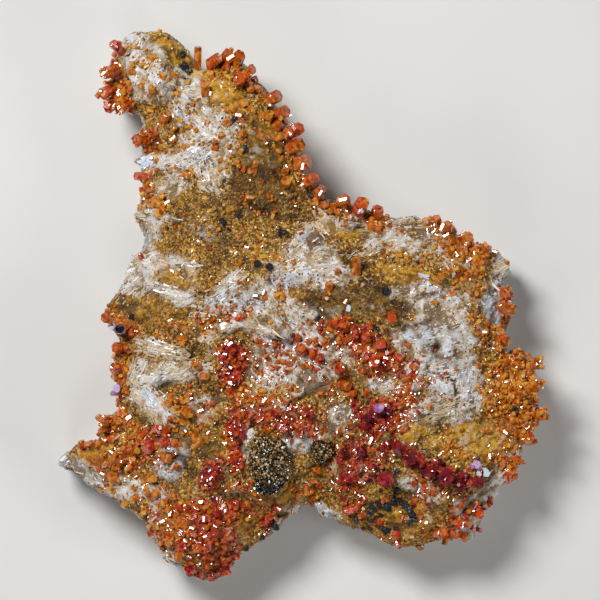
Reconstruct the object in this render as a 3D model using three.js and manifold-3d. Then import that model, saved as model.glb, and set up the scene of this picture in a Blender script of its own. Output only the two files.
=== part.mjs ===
// A loose plate of barite with ochre staining, overgrown by vanadinite crystals.
// It lies on its flat back: +X is the plate's right, +Y its head, +Z the crystal-covered face.
import * as THREE from 'three';
import { mergeVertices } from 'three/addons/utils/BufferGeometryUtils.js';
import { ImprovedNoise } from 'three/addons/math/ImprovedNoise.js';
import Module from 'manifold-3d';

const wasm = await Module();
wasm.setup();

// Driving dimensions, in millimetres
const SPECIMEN_LENGTH = 111;
const BODY_THICKNESS = 20;
const RIM_DROP = 7.5;
const RIM_REACH = 5.5;
const WALL_TOP = 40;
const GRID_STEP = 5.2;
const CONTACT_GAP = 0.35;
const CRUST_RISE = 1.15;
const FACE_ROOT = 0.75;
const RIM_ROOT = 0.95;
const BLADE_THICKNESS = 0.9;
const BLADE_SINK = 0.1;
const SINGLE_SINK = 0.6;
const ROSETTE_SINK = 0.6;
const BEAD_RISE = 0.5;

// Places on the plate are read from the photograph, in its pixels: right, then down
const PIXELS_IN_LENGTH = 555;
const PIXEL = SPECIMEN_LENGTH / PIXELS_IN_LENGTH;
const MIDDLE = { right: 303, down: 306.5 };
const at = ([right, down]) => new THREE.Vector2(
  (right - MIDDLE.right) * PIXEL,
  (MIDDLE.down - down) * PIXEL,
);

// Colours of the finishes
const OCHRE = 0xb89c72;
const ORANGE = 0xc65a1e;
const RED = 0xb5301a;
const MAROON = 0x7d1a1c;
const BROWN = 0x8f3c14;
const DARK_BROWN = 0x3a2a18;
const BLACK = 0x14181f;

// The plate's edge without the crystals on it, clockwise from the head
const EDGE = [
  [122, 45], [127, 36], [139, 32], [157, 31], [166, 32], [184, 47], [190, 52], [199, 69],
  [206, 73], [219, 60], [231, 57], [243, 63], [253, 75], [268, 90], [275, 101], [282, 118],
  [294, 134], [309, 176], [317, 191], [330, 199], [356, 205], [395, 217], [409, 218], [421, 223],
  [433, 222], [446, 226], [465, 239], [487, 250], [498, 253], [507, 260], [509, 269], [502, 286],
  [507, 296], [507, 308], [501, 329], [505, 351], [527, 358], [535, 368], [532, 380], [537, 391],
  [535, 402], [541, 418], [528, 433], [526, 443], [518, 451], [519, 461], [497, 492], [492, 504],
  [476, 531], [467, 540], [454, 537], [440, 540], [427, 545], [414, 548], [400, 548], [386, 543],
  [356, 527], [343, 524], [321, 511], [311, 501], [303, 506], [292, 510], [277, 530], [268, 537],
  [249, 548], [240, 554], [221, 577], [208, 581], [198, 575], [187, 569], [166, 563], [149, 528],
  [142, 519], [122, 502], [110, 496], [97, 487], [84, 481], [65, 468], [58, 460], [67, 453],
  [77, 445], [90, 441], [100, 443], [102, 425], [107, 417], [117, 413], [120, 404], [117, 382],
  [115, 370], [120, 344], [118, 334], [107, 317], [107, 306], [124, 282], [132, 256], [142, 250],
  [146, 238], [135, 217], [144, 192], [141, 167], [145, 155], [141, 146], [145, 122], [138, 112],
  [127, 109], [114, 105], [109, 93], [110, 81], [114, 70], [115, 58],
];

// The middle lines of the plate's arms, which its walls lean in towards
const SPINES = [
  [[135, 62], [170, 100], [205, 165], [240, 235]],
  [[240, 235], [200, 320], [190, 420], [200, 540]],
  [[190, 420], [140, 455], [90, 463]],
  [[240, 235], [330, 300], [430, 330], [480, 300]],
  [[330, 300], [400, 400], [490, 400]],
  [[400, 400], [410, 500]],
];

// Broad swellings and hollows of the face: place, reach along and across, turn, rise
const SWELLINGS = [
  { place: [150, 62], reach: [30, 22], turn: -35, rise: 1.6 },
  { place: [188, 72], reach: [20, 12], turn: -45, rise: -1.2 },
  { place: [176, 150], reach: [60, 20], turn: -68, rise: 1.4 },
  { place: [262, 160], reach: [55, 36], turn: -55, rise: 3.0 },
  { place: [236, 252], reach: [60, 24], turn: -8, rise: 1.6 },
  { place: [350, 305], reach: [42, 20], turn: -8, rise: 2.8 },
  { place: [432, 262], reach: [50, 20], turn: -12, rise: 1.6 },
  { place: [492, 308], reach: [12, 22], turn: 0, rise: -2.2 },
  { place: [448, 378], reach: [42, 34], turn: 30, rise: 2.2 },
  { place: [476, 442], reach: [26, 17], turn: 20, rise: -2.0 },
  { place: [258, 326], reach: [52, 9], turn: -6, rise: 1.7 },
  { place: [165, 360], reach: [38, 18], turn: 12, rise: 1.9 },
  { place: [152, 408], reach: [20, 15], turn: -45, rise: 1.3 },
  { place: [204, 446], reach: [17, 14], turn: 0, rise: -1.8 },
  { place: [306, 388], reach: [26, 11], turn: 28, rise: 2.0 },
  { place: [230, 366], reach: [28, 14], turn: 90, rise: 1.3 },
  { place: [402, 512], reach: [44, 30], turn: 15, rise: -1.4 },
  { place: [440, 468], reach: [46, 12], turn: -14, rise: 1.8 },
  { place: [198, 528], reach: [34, 28], turn: -60, rise: 1.2 },
  { place: [70, 462], reach: [16, 14], turn: 0, rise: -3.4 },
  { place: [210, 575], reach: [18, 16], turn: 0, rise: -2.6 },
  { place: [311, 488], reach: [9, 22], turn: 0, rise: -2.6 },
  { place: [520, 400], reach: [20, 44], turn: 0, rise: 1.4 },
  { place: [130, 300], reach: [20, 30], turn: 0, rise: -1.2 },
];

// Uneven lumps and sharp crests over the whole face: wave length, height, slice of the noise
const LUMPS = [{ wave: 9, height: 2.3, slice: 3.7 }, { wave: 4.2, height: 1.4, slice: 8.1 }];
const CRESTS = { wave: 6.5, height: 0.8, slice: 1.9 };

// Steps where one layer of the plate stands above the next, higher on the left of the path
const LEDGES = [
  { path: [[150, 205], [200, 216], [262, 211], [312, 214]], drop: 1.1, reach: 16 },
  { path: [[400, 290], [330, 336], [262, 336], [196, 312]], drop: -1.3, reach: 18 },
  { path: [[508, 345], [470, 350], [430, 352], [404, 340]], drop: -1.1, reach: 16 },
  { path: [[130, 388], [176, 392], [226, 396]], drop: 1.2, reach: 14 },
  { path: [[500, 430], [470, 425], [430, 428]], drop: 1.3, reach: 15 },
  { path: [[262, 500], [290, 484], [312, 484]], drop: 1.0, reach: 12 },
];

const LEDGE_SLOPE = 0.8;

// Open cracks: path, width and depth
const CUT_ABOVE = 3;
const CRACK_TIP = 1 / 3;
const CRACKS = [
  { path: [[324, 322], [338, 330], [356, 334], [382, 346]], width: 1.0, depth: 2.2 },
  { path: [[298, 401], [318, 394], [336, 380]], width: 0.9, depth: 2.2 },
  { path: [[258, 212], [274, 210], [292, 211]], width: 0.7, depth: 1.4 },
  { path: [[420, 398], [431, 391]], width: 1.0, depth: 1.6 },
];

// Small open pits: place, mouth radius, depth
const PITS = [
  { place: [514, 408], mouth: 0.9, depth: 2.4 },
  { place: [450, 379], mouth: 0.6, depth: 1.4 },
  { place: [214, 147], mouth: 0.6, depth: 1.6 },
];

// Sheaves of barite blades: middle, spread, direction and fan, number, blade length and width
const SHEAVES = [
  { middle: [168, 358], spread: [26, 10], direction: 14, fan: 14, number: 3, blade: [9.0, 3.2] },
  { middle: [154, 405], spread: [10, 8], direction: -48, fan: 18, number: 2, blade: [7.5, 2.8] },
  { middle: [184, 128], spread: [10, 34], direction: 62, fan: 20, number: 3, blade: [8.0, 2.6] },
  { middle: [252, 326], spread: [36, 4], direction: -8, fan: 16, number: 2, blade: [8.5, 2.6] },
  { middle: [346, 228], spread: [8, 2], direction: 60, fan: 20, number: 1, blade: [6.0, 2.4] },
  { middle: [424, 296], spread: [8, 6], direction: 20, fan: 30, number: 1, blade: [7.0, 2.8] },
  { middle: [440, 366], spread: [24, 18], direction: 80, fan: 30, number: 2, blade: [8.0, 3.0] },
  { middle: [147, 162], spread: [1, 3], direction: 150, fan: 16, number: 2, blade: [4.6, 2.0] },
];
const BLADE_LEAN = [-26, 5];
const BLADE_ROLL = 40;

// Vanadinite druses: name, colour, edge of the crust, crystals read from the photograph as
// right, down and width in pixels, and the number of smaller ones that fill the crust
const DRUSES = [
  {
    name: 'druse_head_edge', colour: BROWN, filling: 0,
    crust: [[115, 50], [124, 52], [129, 82], [132, 107], [116, 105], [110, 80]],
    crystals: [[116, 47, 10], [109, 73, 13], [106, 92, 12], [112, 107, 12], [123, 109, 11]],
  },
  {
    name: 'druse_crown', colour: ORANGE, filling: 0,
    crust: [[211, 70], [236, 61], [264, 90], [250, 94], [228, 86]],
    crystals: [[216, 60, 11], [226, 55, 11], [238, 58, 12], [250, 71, 11], [240, 80, 13]],
  },
  {
    name: 'druse_slope', colour: ORANGE, filling: 0,
    crust: [[262, 98], [284, 130], [308, 184], [298, 184], [272, 137], [256, 110]],
    crystals: [[275, 98, 13], [282, 114, 14], [296, 131, 13], [296, 147, 14], [304, 163, 16],
      [312, 180, 12]],
  },
  {
    name: 'druse_saddle', colour: ORANGE, filling: 0,
    crust: [[316, 195], [328, 204], [392, 219], [388, 227], [350, 220], [314, 206]],
    crystals: [[320, 191, 11], [343, 202, 12], [360, 207, 15], [377, 212, 12]],
  },
  {
    name: 'druse_north_east_rim', colour: ORANGE, filling: 0,
    crust: [[424, 223], [447, 228], [476, 248], [496, 254], [490, 262], [460, 258], [440, 238]],
    crystals: [[436, 221, 11], [448, 227, 12], [465, 239, 15], [486, 250, 11]],
  },
  {
    name: 'druse_east_rim', colour: ORANGE, filling: 0,
    crust: [[501, 290], [506, 296], [503, 332], [506, 344], [497, 342], [496, 320]],
    crystals: [[507, 293, 10], [508, 308, 11], [503, 337, 12]],
  },
  {
    name: 'druse_east_lobe', colour: ORANGE, filling: 2,
    crust: [[506, 358], [522, 356], [535, 370], [541, 418], [528, 440], [508, 434], [504, 414],
      [510, 390]],
    crystals: [[519, 355, 11], [535, 364, 12], [536, 385, 12], [542, 414, 13], [528, 438, 12]],
  },
  {
    name: 'druse_south_east_edge', colour: BROWN, filling: 0,
    crust: [[514, 455], [518, 461], [504, 482], [499, 476]],
    crystals: [[519, 461, 11], [511, 474, 12]],
  },
  {
    name: 'druse_lower_right_edge', colour: RED, filling: 0,
    crust: [[474, 504], [489, 506], [468, 540], [436, 543], [438, 528], [456, 518]],
    crystals: [[478, 513, 12], [461, 525, 10], [465, 537, 10], [444, 533, 9]],
  },
  {
    name: 'druse_maroon_band', colour: MAROON, filling: 1,
    crust: [[402, 449], [424, 448], [486, 467], [476, 486], [450, 489], [414, 472]],
    crystals: [[443, 477, 16], [429, 469, 11], [460, 482, 11], [474, 481, 12], [409, 457, 11]],
  },
  {
    name: 'druse_dark_field', colour: MAROON, filling: 2,
    crust: [[344, 438], [388, 445], [366, 490], [342, 490], [335, 464]],
    crystals: [[360, 450, 9]],
  },
  {
    name: 'druse_dark_knot', colour: MAROON, filling: 1,
    crust: [[356, 406], [396, 402], [394, 426], [366, 428]],
    crystals: [[378, 408, 10], [366, 416, 9]],
  },
  {
    name: 'druse_red_band', colour: RED, filling: 3,
    crust: [[230, 405], [318, 408], [306, 438], [286, 432], [252, 420], [240, 446], [230, 444]],
    crystals: [[310, 414, 9], [300, 432, 9]],
  },
  {
    name: 'druse_red_column', colour: RED, filling: 1,
    crust: [[218, 346], [236, 342], [246, 356], [238, 390], [224, 388]],
    crystals: [[231, 348, 9], [225, 362, 9], [239, 366, 8], [233, 381, 9]],
  },
  {
    name: 'druse_red_swath', colour: RED, filling: 1,
    crust: [[336, 317], [386, 335], [410, 380], [372, 368], [352, 336]],
    crystals: [[354, 332, 9], [381, 343, 11], [375, 361, 12]],
  },
  {
    name: 'druse_red_garden', colour: RED, filling: 0,
    crust: [[296, 344], [332, 350], [344, 374], [300, 358]],
    crystals: [[302, 350, 10], [318, 357, 8], [338, 368, 10]],
  },
  {
    name: 'druse_red_tongue', colour: MAROON, filling: 0,
    crust: [[203, 484], [208, 464], [219, 464], [214, 484]],
    crystals: [[209, 478, 16], [214, 467, 12]],
  },
  {
    name: 'druse_bottom_spike', colour: RED, filling: 3,
    crust: [[170, 508], [208, 498], [236, 522], [224, 564], [208, 575], [178, 561], [158, 530]],
    crystals: [[211, 577, 10], [226, 567, 9], [191, 570, 9], [208, 542, 10]],
  },
  {
    name: 'druse_left_spike', colour: BROWN, filling: 2,
    crust: [[78, 461], [90, 445], [150, 440], [154, 452], [96, 471]],
    crystals: [[90, 445, 10], [104, 442, 10], [130, 450, 11]],
  },
  {
    name: 'druse_west_rim_low', colour: ORANGE, filling: 0,
    crust: [[105, 420], [114, 418], [112, 430]],
    crystals: [[103, 424, 11], [111, 418, 12]],
  },
  {
    name: 'druse_west_rim_high', colour: ORANGE, filling: 0,
    crust: [[119, 347], [126, 346], [125, 398], [119, 394]],
    crystals: [[120, 348, 12], [117, 368, 11], [119, 392, 12]],
  },
  {
    name: 'druse_west_prisms', colour: BROWN, filling: 0,
    crust: [[109, 314], [117, 314], [126, 326], [119, 330]],
    crystals: [[108, 318, 11], [122, 327, 12]],
  },
  {
    name: 'druse_neck_edge', colour: RED, filling: 0,
    crust: [[144, 132], [156, 132], [150, 142]],
    crystals: [[140, 140, 12], [152, 136, 11]],
  },
];
const FILLING_WIDTH = 8;
const FILLING_SPACE = 10;
const FILLING_TRIES = 40;
const FILLING_MARGIN = 0.4;
const SIZE_SPREAD = [0.8, 1.2];

// How crystals stand: angles in degrees, lengths as shares of the width
const FACE_LEAN = [3, 45];
const FACE_LENGTH = [1.0, 1.35];
const RIM_BAND = 1.0;
const RIM_FOOTING = 1.1;
const RIM_LEAN = [36, 66];
const RIM_TURN = 20;
const RIM_INSIDE = 0.35;
const RIM_OUTSIDE = 0.3;
const SINGLE_SPIN = 10;

// Crystals that touch no other: name, colour, place, size as width in pixels and length, and
// stand as lean from upright and direction in degrees
const SINGLES = [
  { name: 'tall_prism_head', colour: ORANGE, place: [198, 60], size: [8, 3.9], stand: [74, 88] },
  { name: 'hexagonal_plate', colour: MAROON, place: [386, 477], size: [17, 2.4], stand: [14, 200] },
  { name: 'prism_slope_face', colour: ORANGE, place: [264, 139], size: [8, 2.1], stand: [60, 155] },
  { name: 'plate_shoulder', colour: ORANGE, place: [285, 184], size: [11, 1.7], stand: [20, 60] },
  { name: 'prism_neck', colour: ORANGE, place: [165, 122], size: [8, 2.3], stand: [55, 70] },
  { name: 'prism_neck_rim', colour: RED, place: [143, 177], size: [9, 2.1], stand: [52, 175] },
  { name: 'prism_crown_foot', colour: ORANGE, place: [206, 91], size: [9, 2.0], stand: [45, 100] },
  { name: 'stacked_prism', colour: ORANGE, place: [356, 267], size: [9, 2.6], stand: [66, 90] },
  { name: 'prism_brown_mound', colour: BROWN, place: [391, 316], size: [10, 1.9], stand: [15, 270] },
  { name: 'prism_north_plateau', colour: ORANGE, place: [438, 280], size: [8, 1.9], stand: [35, 60] },
  { name: 'prism_feather', colour: ORANGE, place: [198, 365], size: [9, 2.0], stand: [30, 130] },
  { name: 'plate_west', colour: ORANGE, place: [188, 410], size: [12, 1.8], stand: [22, 300] },
  { name: 'prism_striated', colour: ORANGE, place: [197, 443], size: [7, 2.3], stand: [70, 45] },
  { name: 'oval_prism_notch', colour: ORANGE, place: [306, 488], size: [8, 2.5], stand: [62, 85] },
];

// Cushions of fine dark crystals: name, place, radii along and across, height
const ROSETTE_KNOBS = { waves: 5, height: 0.16 };
const ROSETTES = [
  { name: 'dark_rosette_large', place: [269, 462], radii: [4.2, 6.2], height: 3.0 },
  { name: 'dark_rosette_small', place: [323, 449], radii: [2.5, 2.3], height: 1.9 },
];

// Round black beads: name, place and radius
const BEADS = [
  { name: 'black_bead_west', place: [258, 264], radius: 0.85 },
  { name: 'black_bead_middle', place: [270, 267], radius: 0.85 },
  { name: 'black_bead_head', place: [184, 68], radius: 0.9 },
  { name: 'black_bead_mound', place: [385, 291], radius: 1.0 },
];

// Random numbers that are the same each time
function makeRandom(seed) {
  let state = seed;
  return () => {
    state = (state * 1664525 + 1013904223) % 4294967296;
    return state / 4294967296;
  };
}
const between = (random, low, high) => low + (high - low) * random();
const radians = THREE.MathUtils.degToRad;

const edgePoints = EDGE.map(at);
const spineLines = SPINES.map((spine) => spine.map(at));

function nearestOnPath(point, path) {
  let best = { distance: Infinity, spot: null, side: 0 };
  for (let i = 0; i + 1 < path.length; i += 1) {
    const along = path[i + 1].clone().sub(path[i]);
    const offset = point.clone().sub(path[i]);
    const share = THREE.MathUtils.clamp(offset.dot(along) / along.lengthSq(), 0, 1);
    const spot = path[i].clone().addScaledVector(along, share);
    const distance = spot.distanceTo(point);
    if (distance < best.distance) best = { distance, spot, side: Math.sign(along.cross(offset)) };
  }
  return best;
}

function nearestSpine(point) {
  const spots = spineLines.map((spine) => nearestOnPath(point, spine));
  return spots.reduce((best, spot) => (spot.distance < best.distance ? spot : best));
}

const closedEdge = [...edgePoints, edgePoints[0]];

function isInside(point, outline) {
  let inside = false;
  for (let i = 0, j = outline.length - 1; i < outline.length; j = i, i += 1) {
    const a = outline[i];
    const b = outline[j];
    const crosses = (a.y > point.y) !== (b.y > point.y);
    if (crosses && point.x < ((b.x - a.x) * (point.y - a.y)) / (b.y - a.y) + a.x) inside = !inside;
  }
  return inside;
}

function depthFromEdge(point) {
  const { distance } = nearestOnPath(point, closedEdge);
  return isInside(point, edgePoints) ? distance : -distance;
}

// Height of the face above the flat back
const perlin = new ImprovedNoise();

function roughness(x, y) {
  const lumps = LUMPS.reduce((sum, { wave, height, slice }) => (
    sum + height * perlin.noise(x / wave, y / wave, slice)
  ), 0);
  const { wave, height, slice } = CRESTS;
  return lumps + height * (1 - 2 * Math.abs(perlin.noise(x / wave, y / wave, slice)));
}

function swellingAt(point, { place, reach, turn, rise }) {
  const offset = point.clone().sub(at(place)).rotateAround(new THREE.Vector2(), -radians(turn));
  const along = offset.x / (reach[0] * PIXEL);
  const across = offset.y / (reach[1] * PIXEL);
  return rise * Math.exp(-(along * along + across * across));
}

function ledgeAt(point, { path, drop, reach }) {
  const { distance, side } = nearestOnPath(point, path.map(at));
  const fade = Math.exp(-((distance / (reach * PIXEL)) ** 2));
  return 0.5 * drop * side * Math.tanh(distance / LEDGE_SLOPE) * fade;
}

function faceHeight(x, y) {
  const point = new THREE.Vector2(x, y);
  const depth = Math.max(depthFromEdge(point), 0);
  let height = BODY_THICKNESS - RIM_DROP * Math.exp(-depth / RIM_REACH);
  for (const swelling of SWELLINGS) height += swellingAt(point, swelling);
  for (const ledge of LEDGES) height += ledgeAt(point, ledge);
  return height + roughness(x, y);
}

// Solids from three.js geometry, and back
function solidFrom(geometry) {
  const bare = geometry.index ? geometry.toNonIndexed() : geometry.clone();
  bare.deleteAttribute('normal');
  bare.deleteAttribute('uv');
  const merged = mergeVertices(bare, 1e-5);
  return new wasm.Manifold(new wasm.Mesh({
    numProp: 3,
    vertProperties: Float32Array.from(merged.attributes.position.array),
    triVerts: Uint32Array.from(merged.index.array),
  }));
}

function geometryFrom(solid) {
  const { numProp, vertProperties, triVerts } = solid.getMesh();
  const geometry = new THREE.BufferGeometry();
  const positions = new Float32Array((vertProperties.length / numProp) * 3);
  for (let i = 0; i < positions.length / 3; i += 1) {
    positions.set(vertProperties.subarray(i * numProp, i * numProp + 3), i * 3);
  }
  geometry.setAttribute('position', new THREE.BufferAttribute(positions, 3));
  geometry.setIndex(new THREE.BufferAttribute(Uint32Array.from(triVerts), 1));
  return geometry;
}

function largestBody(solid) {
  const bodies = solid.decompose();
  return bodies.reduce((best, body) => (body.volume() > best.volume() ? body : best));
}

function moveVertices(geometry, move) {
  const { position } = geometry.attributes;
  const point = new THREE.Vector3();
  for (let i = 0; i < position.count; i += 1) {
    move(point.fromBufferAttribute(position, i));
    position.setXYZ(i, point.x, point.y, point.z);
  }
  return geometry;
}

function grownOutline(outline, growth) {
  const count = outline.length;
  return outline.map((point, i) => {
    const before = point.clone().sub(outline[(i + count - 1) % count]).normalize();
    const after = outline[(i + 1) % count].clone().sub(point).normalize();
    const outward = new THREE.Vector2(-(before.y + after.y), before.x + after.x).normalize();
    return point.clone().addScaledVector(outward, growth);
  });
}

// The wall leans in above and below the level where the plate is widest
const WALL_LEAN = [0.17, 0.08, 0.0, 0.24];
const WALL_LEVELS = [0, 3.8, 8.5, WALL_TOP];
const WALL_ROUGHNESS = 0.07;
const WALL_FLUTES = 3.5;

function wallSolid(growth) {
  const shape = new THREE.Shape(grownOutline(edgePoints, growth));
  const wall = new THREE.ExtrudeGeometry(shape, {
    depth: WALL_LEVELS.length - 1, steps: WALL_LEVELS.length - 1, bevelEnabled: false,
  });
  return solidFrom(moveVertices(wall, (point) => {
    const level = Math.round(point.z);
    const flat = new THREE.Vector2(point.x, point.y);
    const { spot } = nearestSpine(flat);
    const flute = perlin.noise(point.x / WALL_FLUTES, point.y / WALL_FLUTES, level + 0.4);
    flat.lerp(spot, WALL_LEAN[level] && Math.max(WALL_LEAN[level] + WALL_ROUGHNESS * flute, 0));
    point.set(flat.x, flat.y, WALL_LEVELS[level]);
  }));
}

// The face is made of flat facets on a square grid
const GRID_COLUMNS = 21;
const GRID_ROWS = 23;
const GRID_LEFT = -GRID_COLUMNS * GRID_STEP / 2;
const GRID_FAR = GRID_ROWS * GRID_STEP / 2;

function faceBlock(rise) {
  const block = new THREE.BoxGeometry(
    GRID_COLUMNS * GRID_STEP, GRID_ROWS * GRID_STEP, 1, GRID_COLUMNS, GRID_ROWS, 1,
  );
  return solidFrom(moveVertices(block, (point) => {
    point.z = point.z > 0 ? faceHeight(point.x, point.y) + rise : -1;
  }));
}

// Height of the facet under a place, from the corners of its grid square
function facetHeight({ x, y }) {
  const across = (x - GRID_LEFT) / GRID_STEP;
  const down = (GRID_FAR - y) / GRID_STEP;
  const column = Math.floor(across);
  const row = Math.floor(down);
  const [s, t] = [across - column, down - row];
  const corner = (right, below) => faceHeight(
    GRID_LEFT + (column + right) * GRID_STEP,
    GRID_FAR - (row + below) * GRID_STEP,
  );
  const [near, far] = [corner(0, 1), corner(1, 0)];
  if (s + t < 1) return corner(0, 0) * (1 - s - t) + far * s + near * t;
  return corner(1, 1) * (s + t - 1) + near * (1 - s) + far * (1 - t);
}

const wall = wallSolid(0);
const crustLayer = wall.intersect(faceBlock(CRUST_RISE)).subtract(faceBlock(CONTACT_GAP));

// A column on the given outline, through the face but not down to the flat back
const COLUMN_FOOT = 4;

function columnSolid(outline) {
  const column = new THREE.ExtrudeGeometry(new THREE.Shape(outline), {
    depth: WALL_TOP, steps: 1, bevelEnabled: false,
  });
  return solidFrom(column.translate(0, 0, COLUMN_FOOT));
}

function placed(geometry, place, direction, lean, spin) {
  const turn = new THREE.Matrix4()
    .makeRotationZ(radians(direction))
    .multiply(new THREE.Matrix4().makeRotationY(radians(lean)))
    .multiply(new THREE.Matrix4().makeRotationZ(radians(spin)));
  return solidFrom(geometry.applyMatrix4(turn).translate(place.x, place.y, place.z));
}

// A hexagonal prism with a flat end, standing on the origin
function prismGeometry(width, length) {
  const corners = [];
  for (let i = 0; i < 6; i += 1) {
    corners.push(new THREE.Vector2(width / 2, 0).rotateAround(new THREE.Vector2(), radians(60 * i)));
  }
  return new THREE.ExtrudeGeometry(new THREE.Shape(corners), {
    depth: length, steps: 1, bevelEnabled: false,
  });
}

// A prism whose foot stands at the given place in plan, sunk or raised from the face
function crystalSolid({ foot, width, length, direction, lean, spin, rise }) {
  const base = new THREE.Vector3(foot.x, foot.y, facetHeight(foot) + rise);
  return placed(prismGeometry(width, length), base, direction, lean, spin);
}

const heading = (direction) => new THREE.Vector2(1, 0).rotateAround(
  new THREE.Vector2(), radians(direction),
);

// Where a leaning crystal stands so that its middle covers a place
function footUnder(spot, length, direction, lean) {
  const shift = (length / 2) * Math.sin(radians(lean));
  return spot.clone().addScaledVector(heading(direction), -shift);
}

function crackSolid({ path, width, depth }) {
  const line = path.map(at);
  const left = [];
  const right = [];
  line.forEach((point, i) => {
    const before = line[Math.max(i - 1, 0)];
    const after = line[Math.min(i + 1, line.length - 1)];
    const along = after.clone().sub(before).normalize();
    const isEnd = i === 0 || i === line.length - 1;
    const half = (isEnd ? CRACK_TIP : 1) * width / 2;
    left.push(point.clone().add(new THREE.Vector2(-along.y * half, along.x * half)));
    right.unshift(point.clone().add(new THREE.Vector2(along.y * half, -along.x * half)));
  });
  const crack = new THREE.ExtrudeGeometry(new THREE.Shape([...left, ...right]), {
    depth: 1, steps: 1, bevelEnabled: false,
  });
  return solidFrom(moveVertices(crack, (point) => {
    point.z = facetHeight(point) + (point.z > 0 ? CUT_ABOVE : -depth);
  }));
}

function pitSolid({ place, mouth, depth }) {
  const spot = at(place);
  const pit = new THREE.ConeGeometry(2 * mouth, 2 * depth, 6).rotateX(-Math.PI / 2);
  return solidFrom(pit.translate(spot.x, spot.y, facetHeight(spot)));
}

// Thin slanted tables, as barite grows, strewn through each sheaf
function strewnBlades() {
  const random = makeRandom(71);
  return SHEAVES.flatMap(({ middle, spread, direction, fan, number, blade }) => {
    const strewn = [];
    for (let i = 0; i < number; i += 1) {
      const [length, width] = blade.map((size) => size * between(random, ...SIZE_SPREAD));
      const spot = at(middle);
      spot.x += between(random, -1, 1) * spread[0] * PIXEL;
      spot.y += between(random, -1, 1) * spread[1] * PIXEL;
      strewn.push({
        spot, length, width,
        direction: direction + between(random, -1, 1) * fan,
        lean: between(random, ...BLADE_LEAN),
        roll: between(random, -BLADE_ROLL, BLADE_ROLL),
      });
    }
    return strewn;
  });
}

function bladeSolid({ spot, length, width, direction, lean, roll }, growth) {
  const end = length / 2 + growth;
  const side = width / 2 + growth;
  const thickness = BLADE_THICKNESS + 2 * growth;
  const table = new THREE.ExtrudeGeometry(new THREE.Shape([
    new THREE.Vector2(-end, -side),
    new THREE.Vector2(end - side, -side),
    new THREE.Vector2(end, side),
    new THREE.Vector2(-end + side, side),
  ]), { depth: thickness, steps: 1, bevelEnabled: false });
  table.translate(0, 0, -growth).rotateX(radians(roll));
  const place = new THREE.Vector3(spot.x, spot.y, facetHeight(spot) - BLADE_SINK);
  return placed(table, place, direction, lean, 0);
}

const blades = strewnBlades();
const crystalSpace = blades.reduce(
  (space, blade) => space.add(bladeSolid(blade, CONTACT_GAP)),
  wallSolid(CONTACT_GAP).intersect(faceBlock(CONTACT_GAP)),
);

function matrixSolid() {
  let solid = wall.intersect(faceBlock(0));
  for (const blade of blades) solid = solid.add(bladeSolid(blade, 0));
  for (const crack of CRACKS) solid = solid.subtract(crackSolid(crack));
  for (const pit of PITS) solid = solid.subtract(pitSolid(pit));
  return largestBody(solid);
}

function fillingSpots(outline, taken, number, random) {
  const box = new THREE.Box2().setFromPoints(outline);
  const spots = [];
  for (let tries = 0; tries < FILLING_TRIES * number && spots.length < number; tries += 1) {
    const spot = new THREE.Vector2(
      between(random, box.min.x, box.max.x),
      between(random, box.min.y, box.max.y),
    );
    const free = [...taken, ...spots].every((other) => (
      other.distanceTo(spot) > FILLING_SPACE * PIXEL
    ));
    if (free && isInside(spot, outline) && depthFromEdge(spot) > FILLING_MARGIN) spots.push(spot);
  }
  return spots;
}

// On the face a crystal stands about its place; at the rim it roots inside the edge and
// leans out over it, so that its end covers its place
function faceCrystal(spot, width, random) {
  const direction = between(random, 0, 360);
  const lean = between(random, ...FACE_LEAN);
  const length = width * between(random, ...FACE_LENGTH);
  const foot = footUnder(spot, length, direction, lean);
  return crystalSolid({
    foot, width, length, direction, lean, spin: between(random, 0, 60), rise: FACE_ROOT,
  });
}

function rimCrystal(spot, width, random) {
  const outward = THREE.MathUtils.radToDeg(spot.clone().sub(nearestSpine(spot).spot).angle());
  const direction = outward + between(random, -RIM_TURN, RIM_TURN);
  const lean = between(random, ...RIM_LEAN);
  const inside = Math.max(RIM_FOOTING - depthFromEdge(spot), RIM_INSIDE * width);
  const foot = spot.clone().addScaledVector(heading(direction), -inside);
  const length = (inside + RIM_OUTSIDE * width) / Math.sin(radians(lean));
  return crystalSolid({
    foot, width, length, direction, lean, spin: between(random, 0, 60), rise: RIM_ROOT,
  });
}

function druseSolid(druse, seed) {
  const random = makeRandom(seed);
  const outline = druse.crust.map(at);
  let solid = crustLayer.intersect(columnSolid(outline));
  const named = druse.crystals.map(([right, down, width]) => ({
    spot: at([right, down]), width: width * PIXEL,
  }));
  const filling = fillingSpots(outline, named.map(({ spot }) => spot), druse.filling, random);
  for (const spot of filling) {
    named.push({ spot, width: FILLING_WIDTH * PIXEL * between(random, ...SIZE_SPREAD) });
  }
  for (const { spot, width } of named) {
    const grow = depthFromEdge(spot) < RIM_BAND ? rimCrystal : faceCrystal;
    solid = solid.add(grow(spot, width, random));
  }
  return largestBody(solid.subtract(crystalSpace));
}

function singleSolid({ place, size: [width, length], stand: [lean, direction] }) {
  const foot = footUnder(at(place), length, direction, lean);
  const crystal = crystalSolid({
    foot, width: width * PIXEL, length: length + SINGLE_SINK, direction, lean, spin: SINGLE_SPIN,
    rise: 0,
  });
  return largestBody(crystal.subtract(crystalSpace));
}

function rosetteSolid({ place, radii, height }) {
  const spot = at(place);
  const ball = new THREE.IcosahedronGeometry(1, 2);
  moveVertices(ball, (point) => {
    const { x, y, z } = point.clone().multiplyScalar(ROSETTE_KNOBS.waves);
    point.multiplyScalar(1 + ROSETTE_KNOBS.height * perlin.noise(x, y, z));
  });
  ball.scale(radii[0], radii[1], height + ROSETTE_SINK);
  ball.translate(spot.x, spot.y, facetHeight(spot) - ROSETTE_SINK);
  return largestBody(solidFrom(ball).subtract(crystalSpace));
}

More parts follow.
